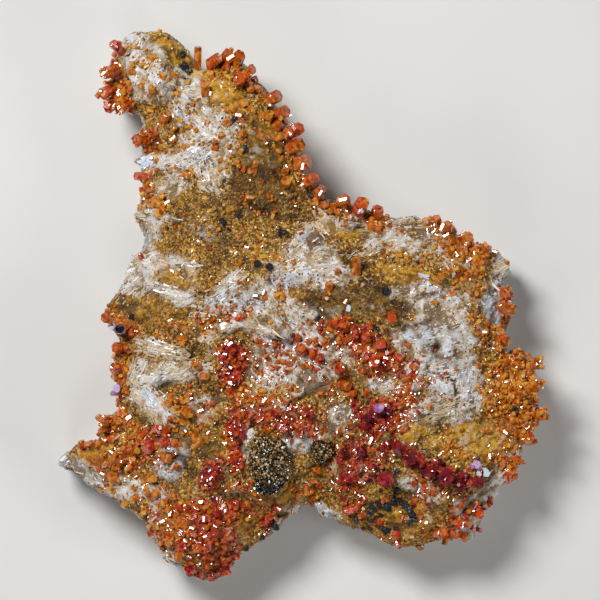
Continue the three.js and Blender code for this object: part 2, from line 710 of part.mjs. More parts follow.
function beadSolid({ place, radius }) {
  const spot = at(place);
  const ball = new THREE.SphereGeometry(radius, 5, 3);
  ball.translate(spot.x, spot.y, facetHeight(spot) + BEAD_RISE);
  return largestBody(solidFrom(ball).subtract(crystalSpace));
}

const specimen = new THREE.Group();

function addPiece(name, solid, color, roughness) {
  const material = new THREE.MeshStandardMaterial({ color, roughness, metalness: 0 });
  const mesh = new THREE.Mesh(geometryFrom(solid), material);
  mesh.name = name;
  specimen.add(mesh);
}

addPiece('barite_matrix', matrixSolid(), OCHRE, 0.85);
DRUSES.forEach((druse, i) => addPiece(druse.name, druseSolid(druse, 100 + i), druse.colour, 0.28));
SINGLES.forEach((single) => addPiece(single.name, singleSolid(single), single.colour, 0.22));
ROSETTES.forEach((rosette) => addPiece(rosette.name, rosetteSolid(rosette), DARK_BROWN, 0.45));
BEADS.forEach((bead) => addPiece(bead.name, beadSolid(bead), BLACK, 0.5));

// The origin lies under the middle of the whole specimen, on its flat back
const middle = new THREE.Box3().setFromObject(specimen).getCenter(new THREE.Vector3());
specimen.position.set(-middle.x, -middle.y, 0);

export default specimen;
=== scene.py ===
import math

import bmesh
import bpy
import numpy as np
from bpy.props import FloatProperty, IntProperty, PointerProperty
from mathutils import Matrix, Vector, noise
from mathutils.bvhtree import BVHTree


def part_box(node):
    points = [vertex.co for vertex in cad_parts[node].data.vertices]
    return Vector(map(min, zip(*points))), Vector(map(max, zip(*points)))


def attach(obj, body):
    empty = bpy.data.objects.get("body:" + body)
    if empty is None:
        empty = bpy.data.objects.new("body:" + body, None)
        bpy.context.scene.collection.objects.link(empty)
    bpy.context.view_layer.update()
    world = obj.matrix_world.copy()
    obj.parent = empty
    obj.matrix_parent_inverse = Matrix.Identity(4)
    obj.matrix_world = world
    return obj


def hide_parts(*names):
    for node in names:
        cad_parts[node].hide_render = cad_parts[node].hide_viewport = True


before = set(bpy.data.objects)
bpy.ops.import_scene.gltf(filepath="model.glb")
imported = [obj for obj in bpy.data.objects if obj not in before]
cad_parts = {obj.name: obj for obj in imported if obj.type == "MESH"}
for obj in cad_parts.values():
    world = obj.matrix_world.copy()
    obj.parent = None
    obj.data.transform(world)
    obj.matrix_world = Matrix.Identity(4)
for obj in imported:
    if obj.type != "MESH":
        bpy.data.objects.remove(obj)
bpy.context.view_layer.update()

bl_info = {
    "name": "Vanadinite on barite specimen",
    "version": (1, 0, 0),
    "blender": (4, 5, 0),
    "location": "3D View > Sidebar > Specimen",
    "description": "Makes a plate of stained barite overgrown by vanadinite crystals",
    "category": "Object",
}

# One millimetre in metres, one pixel of the photograph in millimetres, and its side in pixels
MM = 0.001
PIXEL = 0.2
FRAME_PIXELS = 600

# The plate's left, right, top and bottom edges in pixels of the photograph
LEFT_PIXEL, RIGHT_PIXEL = 58, 541
TOP_PIXEL, BOTTOM_PIXEL = 31, 581
PLATE_LOW, PLATE_HIGH = (np.array(corner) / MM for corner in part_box("barite_matrix"))

# Patches of colour on the plate, in pixels of the photograph:
# right, down, reach along, reach across, turn in degrees, strength
WHITE = [
    (134, 46, 16, 14, 0, 1), (146, 64, 22, 16, 0, 0.9), (152, 88, 26, 16, 0, 0.85),
    (184, 92, 20, 14, -30, 0.9), (196, 118, 30, 20, -50, 1), (204, 150, 38, 17, 30, 1),
    (176, 162, 24, 9, 10, 0.8), (146, 162, 10, 9, 0, 1), (216, 172, 18, 14, 0, 0.75),
    (210, 188, 16, 5, -30, 0.9), (172, 190, 20, 10, 20, 0.75), (150, 214, 22, 7, -10, 0.95),
    (150, 232, 10, 14, 0, 0.55), (152, 262, 30, 12, 0, 0.6), (134, 280, 22, 18, 0, 0.65),
    (186, 262, 16, 9, 0, 0.5), (172, 292, 18, 7, -20, 0.7), (186, 302, 12, 6, 20, 0.9),
    (224, 290, 24, 9, 42, 1), (240, 306, 24, 12, 0, 0.8), (264, 292, 20, 12, 0, 0.8),
    (292, 264, 26, 14, 10, 0.8), (316, 256, 20, 9, 0, 1), (306, 234, 22, 9, 30, 0.7),
    (290, 314, 36, 16, -10, 1), (222, 330, 20, 6, 28, 1), (256, 328, 22, 7, -24, 1),
    (326, 276, 28, 14, 0, 0.8), (310, 344, 28, 16, 0, 1), (268, 372, 24, 18, 0, 0.9),
    (346, 225, 20, 7, 0, 0.95), (398, 244, 28, 8, -6, 1), (402, 222, 22, 8, -5, 0.8),
    (430, 236, 14, 10, 0, 0.7), (412, 292, 26, 11, 0, 0.85), (444, 302, 34, 16, 0, 0.7),
    (504, 268, 12, 18, 0, 1), (496, 308, 13, 24, 10, 1.4), (436, 334, 42, 16, 0, 1),
    (418, 350, 24, 14, 0, 0.85), (442, 366, 32, 14, 0, 1.1), (456, 388, 22, 28, 0, 1.2),
    (440, 408, 32, 14, 15, 1.1), (404, 384, 16, 10, 0, 0.7), (162, 348, 28, 8, -15, 0.8),
    (168, 374, 36, 11, 8, 0.85), (142, 372, 14, 14, 0, 0.75), (152, 404, 27, 13, -30, 1),
    (246, 432, 8, 12, 0, 0.95), (244, 456, 8, 10, 0, 0.8), (104, 488, 40, 7, -20, 0.85),
    (84, 472, 18, 8, -25, 0.7), (62, 460, 9, 8, 0, 1), (170, 560, 16, 8, -25, 1),
    (326, 512, 16, 6, -25, 1), (504, 466, 20, 6, 50, 0.9), (488, 496, 18, 10, 50, 1.1),
    (466, 536, 20, 10, 20, 1), (340, 412, 14, 11, 0, 0.9), (386, 386, 26, 8, 0, 0.8),
    (300, 446, 22, 10, 0, 0.6), (228, 540, 8, 14, 0, 0.6), (292, 508, 14, 4, 20, 0.8),
    (136, 486, 26, 8, -10, 0.7), (416, 484, 20, 8, -20, 1.1), (470, 508, 18, 16, 30, 1),
    (430, 500, 14, 8, 0, 0.6), (336, 311, 6, 6, 0, 0.9), (280, 350, 26, 12, 0, 1),
    (310, 372, 22, 12, 0, 1), (340, 352, 22, 8, -20, 0.7), (304, 434, 24, 14, 0, 0.9),
    (276, 408, 24, 8, 0, 0.9), (110, 476, 40, 8, -20, 0.8), (164, 500, 20, 10, -40, 0.7),
    (164, 528, 22, 12, -60, 0.9), (200, 400, 14, 8, 0, 0.5), (206, 410, 20, 14, 0, 0.5),
    (176, 448, 18, 12, 0, 0.6), (340, 430, 12, 8, 0, 0.5), (316, 384, 26, 6, 24, 0.9),
    (386, 238, 30, 9, 8, 0.5), (440, 252, 22, 8, 20, 0.5), (356, 464, 10, 7, 0, 0.6),
    (508, 470, 8, 16, -30, 0.7),
]
YELLOW = [
    (166, 46, 16, 10, -40, 1), (186, 66, 20, 10, -50, 1), (222, 88, 26, 14, -40, 0.8),
    (410, 277, 32, 9, -10, 1.3), (462, 276, 16, 12, -50, 0.7), (482, 330, 14, 12, 0, 0.8),
    (470, 438, 36, 15, 8, 1.3), (412, 432, 18, 12, 0, 0.8), (216, 446, 18, 11, 0, 0.95),
    (262, 258, 34, 12, 0, 0.6), (344, 233, 22, 7, -10, 0.8), (96, 456, 20, 11, 0, 1.2),
    (490, 380, 9, 32, 0, 0.7), (240, 520, 14, 18, -30, 0.6), (284, 492, 16, 8, 0, 0.6),
    (250, 386, 10, 6, 0, 0.7), (128, 440, 18, 10, 0, 0.6), (478, 288, 14, 8, 0, 0.6),
    (200, 335, 24, 8, 0, 0.4), (126, 365, 8, 30, 0, 0.8), (180, 190, 16, 8, 0, 0.5),
    (360, 312, 24, 9, -8, 0.4), (404, 514, 34, 16, 0, 0.7), (316, 390, 26, 6, 24, 0.6),
    (160, 508, 24, 18, -40, 0.6), (374, 488, 18, 10, 0, 0.6),
]
BROWN = [
    (262, 170, 40, 26, -55, 0.75), (270, 206, 48, 8, -6, 0.7), (210, 236, 42, 10, -8, 0.6),
    (340, 300, 30, 16, 0, 0.95), (376, 300, 28, 16, 0, 0.9), (140, 312, 30, 8, -5, 0.45),
    (166, 430, 22, 12, -30, 0.95), (440, 278, 9, 7, 0, 0.8), (184, 474, 26, 14, 0, 0.35),
    (206, 346, 14, 8, 0, 0.6), (392, 398, 18, 6, 0, 0.7), (424, 386, 12, 6, 10, 0.4),
    (246, 500, 26, 8, -10, 0.6), (400, 512, 26, 18, 0, 0.15), (356, 470, 22, 24, 0, 0.5),
    (238, 182, 20, 14, 0, 0.6), (180, 330, 26, 12, 0, 0.5), (212, 386, 12, 12, 0, 0.4),
    (312, 384, 22, 12, 28, 0.35), (384, 426, 18, 12, 0, 0.6),
]
GREY = [
    (176, 76, 14, 7, -30, 0.8), (285, 282, 20, 9, 0, 0.8), (245, 300, 26, 12, 0, 0.7),
    (310, 242, 14, 7, 0, 0.7), (168, 468, 16, 12, 0, 0.8), (497, 308, 12, 22, 10, 1.4),
    (416, 334, 14, 8, 0, 0.4), (210, 236, 14, 7, 0, 0.5), (340, 412, 12, 8, 0, 0.5),
    (222, 292, 18, 7, 42, 0.5), (62, 460, 8, 8, 0, 0.9), (174, 562, 12, 6, -25, 0.9),
    (146, 162, 9, 7, 0, 0.7), (244, 438, 8, 16, 0, 0.6), (88, 474, 18, 7, -25, 0.7),
    (340, 224, 8, 6, 0, 0.9), (440, 292, 16, 8, 0, 0.5), (276, 526, 14, 6, 50, 0.6),
    (134, 282, 22, 24, 0, 0.35), (150, 240, 12, 14, 0, 0.5), (168, 290, 20, 8, -20, 0.4),
    (152, 404, 26, 12, -30, 0.45), (300, 350, 30, 14, 0, 0.4), (280, 376, 20, 12, 0, 0.4),
    (196, 118, 20, 14, -50, 0.35), (204, 152, 26, 12, 30, 0.45), (444, 340, 26, 14, 0, 0.5),
    (420, 330, 20, 12, 0, 0.5), (440, 362, 28, 12, 0, 0.5), (460, 384, 16, 22, 0, 0.5),
    (440, 404, 26, 12, 15, 0.4), (504, 268, 10, 14, 0, 0.4), (142, 374, 10, 12, 0, 0.5),
    (322, 510, 14, 6, -25, 0.8), (178, 452, 14, 10, 0, 0.6),
]
ORANGE = [
    (514, 400, 30, 46, 0, 0.85), (470, 256, 30, 12, -25, 0.7), (110, 462, 40, 14, -8, 0.6),
    (506, 318, 6, 30, 0, 0.8), (120, 92, 14, 18, 0, 0.6), (150, 140, 10, 10, 0, 0.6),
    (174, 522, 32, 24, -60, 0.8), (154, 200, 14, 8, 0, 0.7), (404, 232, 14, 7, 0, 0.6),
    (376, 222, 14, 10, 0, 0.6), (190, 330, 30, 8, -15, 0.5), (196, 410, 32, 16, 0, 0.45),
    (128, 330, 16, 20, 0, 0.6), (300, 380, 40, 20, 0, 0.25), (460, 525, 26, 10, 30, 0.35),
    (116, 424, 18, 12, 0, 0.7), (280, 296, 7, 6, 0, 0.8), (150, 478, 8, 5, 0, 0.8),
    (424, 470, 20, 8, -20, 0.4), (222, 140, 10, 10, 0, 0.5), (432, 400, 16, 10, 0, 0.4),
]
RED = [
    (206, 535, 32, 22, -60, 0.5), (232, 366, 14, 28, 0, 0.6), (270, 418, 44, 12, -4, 0.55),
    (236, 442, 8, 34, 0, 0.85), (362, 342, 46, 14, -28, 0.5), (380, 366, 24, 10, -20, 0.45),
    (312, 350, 20, 14, 0, 0.15), (372, 418, 26, 14, 0, 0.7), (432, 468, 40, 8, -26, 0.55),
    (402, 448, 18, 7, -20, 0.8), (350, 456, 26, 26, 0, 0.4), (210, 474, 7, 15, -15, 1),
    (224, 510, 12, 8, 0, 0.6), (270, 520, 8, 6, 0, 0.6), (466, 520, 22, 9, 30, 0.2),
    (150, 442, 18, 8, 0, 0.4), (126, 466, 30, 8, 0, 0.45), (304, 424, 22, 12, 0, 0.35),
]

# Where the stain lies smooth, with few grains
SMOOTH = [
    (172, 50, 18, 14, -45, 0.9), (190, 70, 16, 8, -55, 0.9), (226, 100, 28, 12, -40, 0.8),
    (262, 150, 34, 22, -60, 0.85), (270, 190, 30, 12, -20, 0.5), (340, 304, 32, 18, 0, 0.55),
    (384, 304, 24, 14, 0, 0.5), (408, 277, 28, 9, -10, 1), (480, 436, 36, 20, 0, 0.8),
    (414, 432, 16, 12, 0, 0.8), (410, 516, 34, 18, 0, 0.75), (284, 496, 24, 14, 0, 0.7),
    (240, 522, 14, 20, -30, 0.8), (96, 456, 22, 12, 0, 0.8), (216, 448, 18, 14, 0, 0.5),
    (344, 234, 20, 8, -10, 0.6), (130, 308, 24, 8, 0, 0.5), (164, 276, 40, 28, 0, 0.75),
    (164, 318, 40, 14, 0, 0.5), (150, 226, 16, 26, 0, 0.6), (200, 330, 30, 10, 0, 0.5),
    (180, 450, 30, 22, 0, 0.6), (208, 410, 24, 18, 0, 0.5), (250, 500, 24, 20, 0, 0.5),
    (316, 386, 26, 8, 24, 0.9), (346, 470, 20, 20, 0, 0.4),
]

# Black spots that are only colour or a thin skin: right, down, width in pixels
BLACK_SPOTS = [
    (169, 40, 3), (182, 55, 5.5), (184, 65, 5), (189, 73, 6), (234, 120, 6), (245, 151, 6),
    (239, 216, 5), (223, 222, 6), (224, 225, 4), (230, 232, 4.5), (168, 227, 4), (282, 232, 6),
    (280, 236, 3), (310, 196, 5), (133, 317, 5), (318, 318, 6), (325, 324, 5), (321, 331, 5),
    (377, 335, 5), (375, 340, 3), (375, 327, 4), (224, 314, 4), (362, 396, 3), (238, 493, 4),
    (398, 488, 5), (387, 505, 6), (386, 530, 6), (357, 519, 5), (371, 505, 5), (366, 478, 4),
    (396, 502, 4), (401, 502, 4.5), (406, 505, 5), (410, 510, 5), (412, 515, 6), (410, 520, 6),
    (415, 519, 4), (391, 500, 4), (372, 512, 4), (378, 500, 4), (370, 528, 4), (392, 472, 4),
    (396, 470, 4), (361, 473, 4), (350, 486, 3), (246, 548, 5), (232, 551, 4), (262, 538, 4),
    (276, 527, 5), (344, 498, 3), (380, 489, 4), (374, 480, 3), (363, 528, 3), (396, 528, 4),
    (399, 499, 4), (404, 503, 4.5), (408, 507, 5), (411, 513, 5), (412, 518, 5), (393, 497, 4),
    (388, 503, 4.5), (383, 507, 4), (378, 504, 4), (374, 508, 4), (368, 512, 4), (372, 520, 4.5),
    (378, 525, 4), (384, 528, 4.5), (394, 492, 4), (390, 508, 4), (380, 514, 4), (417, 263, 3),
    (319, 345, 4), (362, 349, 3), (513, 406, 5), (516, 410, 5),
]

# Dark crevices, each a line of points in pixels
CREVICES = [
    [(244, 209), (258, 210), (270, 214), (284, 219), (300, 216)],
    [(288, 403), (304, 396), (318, 390), (332, 378)], [(170, 452), (186, 462), (196, 474)],
    [(222, 462), (232, 470), (240, 486)], [(404, 330), (418, 324), (432, 322)],
    [(446, 374), (453, 380), (455, 390)], [(426, 343), (436, 346)],
    [(262, 536), (272, 522), (290, 508)], [(438, 356), (446, 359), (455, 357)],
    [(446, 324), (452, 328), (459, 326)], [(453, 379), (457, 387), (461, 396)],
    [(404, 349), (408, 357)], [(211, 143), (218, 147)],
    [(256, 420), (244, 424), (240, 440), (246, 474)], [(196, 344), (190, 356), (200, 384)],
]

# Sheaves of barite blades: right, down, reach along, across, direction in degrees, fan,
# number, blade length in millimetres
SHEAVES = [
    (136, 46, 12, 10, 70, 30, 56, 1.4), (150, 72, 18, 16, 60, 40, 93, 1.3),
    (184, 96, 18, 12, -30, 25, 93, 1.7), (198, 120, 26, 14, -42, 20, 186, 2.1),
    (206, 150, 34, 13, 28, 24, 205, 2.2), (176, 164, 20, 9, 12, 20, 81, 1.8),
    (146, 162, 8, 7, 150, 30, 43, 1.8), (216, 172, 15, 13, 105, 25, 105, 1.7),
    (210, 188, 14, 4, -28, 15, 37, 1.7), (170, 188, 18, 9, 25, 30, 56, 1.5),
    (152, 214, 20, 6, -8, 18, 56, 2), (150, 236, 8, 12, 80, 30, 37, 1.4),
    (152, 262, 28, 10, -15, 22, 105, 1.8), (132, 282, 18, 16, 42, 25, 118, 2),
    (172, 292, 17, 6, -22, 16, 56, 1.8), (188, 300, 10, 5, 20, 20, 25, 1.5),
    (226, 288, 22, 8, 44, 16, 105, 2.2), (242, 306, 20, 10, 10, 40, 74, 1.4),
    (266, 292, 18, 10, -30, 40, 68, 1.4), (294, 262, 22, 12, 8, 26, 93, 1.7),
    (316, 256, 18, 8, 4, 20, 81, 2), (306, 232, 20, 8, 30, 20, 74, 2),
    (292, 314, 32, 13, -55, 18, 161, 2), (222, 330, 18, 5, 30, 14, 110, 2.6),
    (256, 328, 20, 5, -24, 14, 120, 2.6), (326, 276, 24, 12, 0, 50, 81, 1.2),
    (310, 346, 24, 12, 20, 60, 68, 1.2), (268, 372, 20, 16, -40, 60, 74, 1.2),
    (328, 226, 12, 10, -62, 22, 110, 2.8), (346, 225, 17, 6, 8, 20, 50, 1.7),
    (398, 244, 26, 7, 2, 16, 93, 2.1), (404, 222, 20, 6, -4, 30, 62, 1.4),
    (412, 276, 28, 6, -12, 10, 30, 2.2), (412, 292, 24, 9, 10, 40, 74, 1.4),
    (464, 272, 20, 16, -58, 18, 190, 3), (444, 302, 32, 14, 0, 90, 124, 0.9),
    (500, 268, 12, 14, 35, 30, 74, 1.7), (436, 334, 36, 12, 15, 30, 118, 1.5),
    (442, 366, 28, 11, 8, 22, 124, 2), (462, 388, 14, 22, 72, 24, 118, 1.8),
    (440, 408, 28, 10, 18, 18, 170, 2.8), (404, 384, 14, 9, 0, 50, 37, 1),
    (162, 350, 26, 8, -18, 26, 190, 2.4), (170, 372, 34, 9, 16, 30, 250, 2.5),
    (142, 372, 12, 13, 62, 20, 74, 2), (152, 404, 24, 10, -46, 14, 260, 3.6),
    (246, 434, 7, 11, 70, 30, 37, 1.4), (244, 456, 7, 9, 90, 30, 31, 1.2),
    (104, 488, 36, 6, -24, 20, 93, 1.7), (62, 460, 6, 6, 30, 30, 25, 1.5),
    (170, 560, 12, 6, -30, 30, 31, 1.5), (326, 512, 14, 5, -28, 20, 37, 1.5),
    (504, 466, 18, 5, 48, 16, 50, 1.7), (474, 534, 14, 7, 30, 24, 43, 1.5),
    (340, 412, 12, 9, 20, 50, 37, 1.2), (386, 386, 24, 7, 10, 30, 56, 1.4),
    (228, 538, 7, 13, -60, 24, 37, 1.4), (126, 366, 6, 26, 80, 26, 110, 2),
    (470, 440, 30, 10, 15, 16, 28, 1.5), (416, 432, 14, 10, 40, 30, 19, 1.2),
    (366, 250, 30, 10, 20, 24, 81, 1.7), (190, 262, 14, 8, 10, 40, 37, 1.2),
    (136, 486, 22, 7, -12, 24, 56, 1.5), (200, 312, 20, 10, 0, 40, 56, 1.4),
]

# Length in millimetres from which a sheaf's blades are broad, and more of them are laid
LONG_BLADE = 2.5

# Thickets of small vanadinite crystals: outline in pixels, number, width in pixels from and
# to, tone from 0, maroon, to 1, golden orange
THICKETS = [
    ("bottom_spike_red", [(186, 500), (212, 498), (233, 518), (238, 545), (234, 566), (212, 581),
     (190, 572), (180, 540)], 220, (3, 7), (0.32, 0.7)),
    ("bottom_spike_orange", [(148, 498), (190, 500), (192, 545), (186, 568), (166, 562),
     (152, 530)], 72, (3, 8), (0.42, 0.87)),
    ("spike_root_red", [(212, 500), (242, 498), (240, 522), (222, 524)], 37, (3, 7), (0.35, 0.6)),
    ("left_spike_rust", [(72, 456), (84, 442), (120, 440), (150, 440), (158, 468), (118, 482),
     (92, 470)], 54, (3, 8.5), (0.5, 1)),
    ("left_spike_dark", [(138, 430), (170, 422), (182, 445), (160, 470), (142, 462)],
     44, (4, 8), (0.3, 0.6)),
    ("left_spike_foot", [(100, 480), (150, 478), (196, 488), (190, 504), (140, 512), (118, 498)],
     20, (3.5, 8), (0.58, 0.93)),
    ("red_column", [(216, 345), (236, 338), (247, 356), (247, 392), (228, 393), (216, 368)],
     96, (2.5, 6), (0.3, 0.6)),
    ("column_foot", [(222, 392), (262, 380), (268, 400), (230, 404)], 60, (3, 6), (0.5, 0.9)),
    ("red_band", [(226, 402), (262, 398), (336, 408), (322, 442), (290, 440), (262, 428),
     (242, 420), (226, 428)], 280, (2, 4.8), (0.35, 0.75)),
    ("pink_streak", [(228, 420), (242, 418), (242, 476), (228, 470)], 81, (3, 6), (0.23, 0.53)),
    ("swath_high", [(308, 330), (326, 318), (350, 318), (380, 332), (398, 346), (370, 352),
     (340, 342)], 130, (3, 7), (0.4, 0.7)),
    ("swath_low", [(352, 346), (392, 344), (424, 366), (412, 384), (380, 378), (352, 366)],
     120, (2.5, 7), (0.32, 0.72)),
    ("garden", [(292, 334), (350, 340), (356, 396), (330, 402), (296, 366)],
     90, (2.5, 6), (0.4, 0.7)),
    ("pink_field", [(250, 340), (294, 336), (300, 400), (252, 400)], 120, (2, 4.5), (0.35, 0.7)),
    ("dark_field", [(330, 428), (404, 424), (402, 450), (380, 474), (350, 486), (328, 474)],
     115, (3, 6), (0.11, 0.56)),
    ("dark_foot", [(330, 474), (378, 474), (366, 506), (338, 506)], 26, (3, 6), (0.3, 0.6)),
    ("dark_knot", [(350, 402), (402, 398), (404, 430), (356, 432)], 120, (3, 6.5), (0.15, 0.55)),
    ("speckled_knot", [(378, 396), (412, 380), (418, 420), (392, 424)], 90, (2.5, 5), (0.3, 0.8)),
    ("maroon_band", [(384, 436), (412, 442), (446, 464), (482, 468), (474, 486), (450, 490),
     (414, 466), (384, 450)], 60, (3, 8), (0.08, 0.4)),
    ("maroon_foot", [(414, 476), (446, 486), (444, 498), (418, 494)], 20, (3, 6), (0.3, 0.55)),
    ("red_tongue", [(203, 486), (206, 462), (224, 458), (218, 486)], 60, (3, 6), (0.25, 0.45)),
    ("east_lobe", [(498, 356), (515, 350), (538, 362), (538, 400), (546, 418), (530, 440),
     (517, 452), (500, 440), (494, 400)], 344, (2.5, 6.5), (0.62, 1)),
    ("east_lobe_foot", [(478, 352), (498, 350), (500, 440), (484, 436), (476, 400)],
     80, (2, 4.5), (0.7, 1)),
    ("north_east_rim", [(424, 222), (450, 223), (472, 242), (494, 248), (488, 258), (478, 268),
     (458, 276), (444, 256)], 100, (3, 7.5), (0.55, 0.95)),
    ("east_shoulder", [(444, 262), (484, 262), (480, 300), (450, 296)], 50, (2.5, 6), (0.6, 0.95)),
    ("east_rim", [(503, 286), (510, 284), (510, 350), (500, 345)], 44, (3.5, 7), (0.5, 0.85)),
    ("east_hollow", [(470, 316), (502, 326), (506, 352), (476, 350)], 60, (2.5, 6), (0.6, 0.95)),
    ("crown", [(210, 72), (234, 56), (262, 82), (266, 96), (236, 96), (214, 84)],
     14, (3, 7), (0.6, 0.95)),
    ("slope", [(256, 92), (274, 100), (290, 128), (312, 180), (300, 186), (270, 136)],
     18, (4, 9), (0.45, 0.85)),
    ("shoulder", [(212, 96), (262, 100), (300, 180), (312, 214), (244, 214), (234, 130)],
     44, (2.5, 6), (0.65, 0.95)),
    ("saddle", [(312, 186), (330, 200), (398, 214), (396, 232), (350, 226), (312, 214)],
     50, (3, 7), (0.5, 0.9)),
    ("head_edge", [(104, 72), (118, 62), (132, 80), (130, 110), (108, 112), (101, 92)],
     66, (4, 8.5), (0.45, 0.9)),
    ("head_specks", [(124, 46), (170, 58), (198, 100), (180, 132), (146, 126), (132, 80)],
     40, (2.5, 6), (0.8, 1)),
    ("neck_specks", [(150, 118), (200, 100), (236, 130), (232, 176), (180, 186), (150, 170)],
     50, (2.5, 6), (0.75, 0.98)),
    ("neck_edge", [(138, 132), (158, 126), (164, 146), (146, 152)], 22, (3.5, 7), (0.4, 0.8)),
    ("collar_edge", [(138, 172), (150, 170), (154, 192), (142, 192)], 26, (4, 8), (0.45, 0.75)),
    ("collar", [(136, 194), (170, 192), (166, 212), (134, 212)], 36, (3, 7), (0.75, 1)),
    ("ochre_band", [(170, 196), (330, 214), (300, 270), (180, 282)], 78, (2, 4.5), (0.6, 1)),
    ("centre_specks", [(200, 284), (330, 262), (330, 330), (206, 332)], 49, (2, 5), (0.5, 0.9)),
    ("pink_arch", [(200, 312), (246, 306), (250, 322), (204, 334)], 40, (2.5, 5), (0.35, 0.7)),
    ("east_plateau", [(380, 214), (444, 228), (446, 300), (380, 270)], 44, (2, 5), (0.6, 1)),
    ("plateau_foot", [(396, 300), (480, 300), (480, 400), (404, 372)], 16, (2, 4), (0.4, 0.9)),
    ("rust_patch", [(404, 376), (450, 376), (446, 402), (404, 404)], 34, (2, 4), (0.3, 0.7)),
    ("west_point", [(102, 310), (118, 304), (130, 316), (126, 336), (110, 338)],
     26, (3, 7), (0.5, 0.85)),
    ("west_rim", [(112, 344), (127, 344), (128, 400), (114, 400)], 49, (4, 8.5), (0.5, 0.8)),
    ("west_band", [(150, 318), (216, 320), (214, 350), (160, 340)], 26, (2.5, 6), (0.55, 0.95)),
    ("west_field", [(160, 386), (232, 384), (230, 452), (176, 450)], 60, (2.5, 6.5), (0.5, 0.95)),
    ("west_knuckle", [(98, 416), (122, 406), (136, 430), (112, 442), (98, 432)],
     42, (4, 8.5), (0.5, 0.8)),
    ("west_hollow", [(124, 420), (150, 428), (146, 452), (116, 448)], 35, (3, 6.5), (0.6, 0.95)),
    ("lower_field", [(200, 484), (256, 476), (290, 500), (262, 538), (236, 520)],
     90, (2.5, 6), (0.25, 0.7)),
    ("notch", [(284, 484), (318, 480), (318, 506), (290, 510)], 40, (3, 6.5), (0.5, 0.9)),
    ("lower_right_field", [(340, 490), (450, 484), (456, 536), (400, 548), (348, 524)],
     60, (2.5, 5), (0.3, 0.8)),
    ("lower_right_edge", [(448, 500), (494, 496), (488, 518), (468, 540), (440, 542)],
     36, (3.5, 8), (0.3, 0.7)),
    ("south_east_edge", [(508, 446), (524, 450), (512, 478), (498, 470)],
     22, (3.5, 8), (0.5, 0.85)),
    ("yellow_slope", [(440, 424), (506, 430), (500, 462), (440, 452)], 60, (2, 5), (0.6, 1)),
]

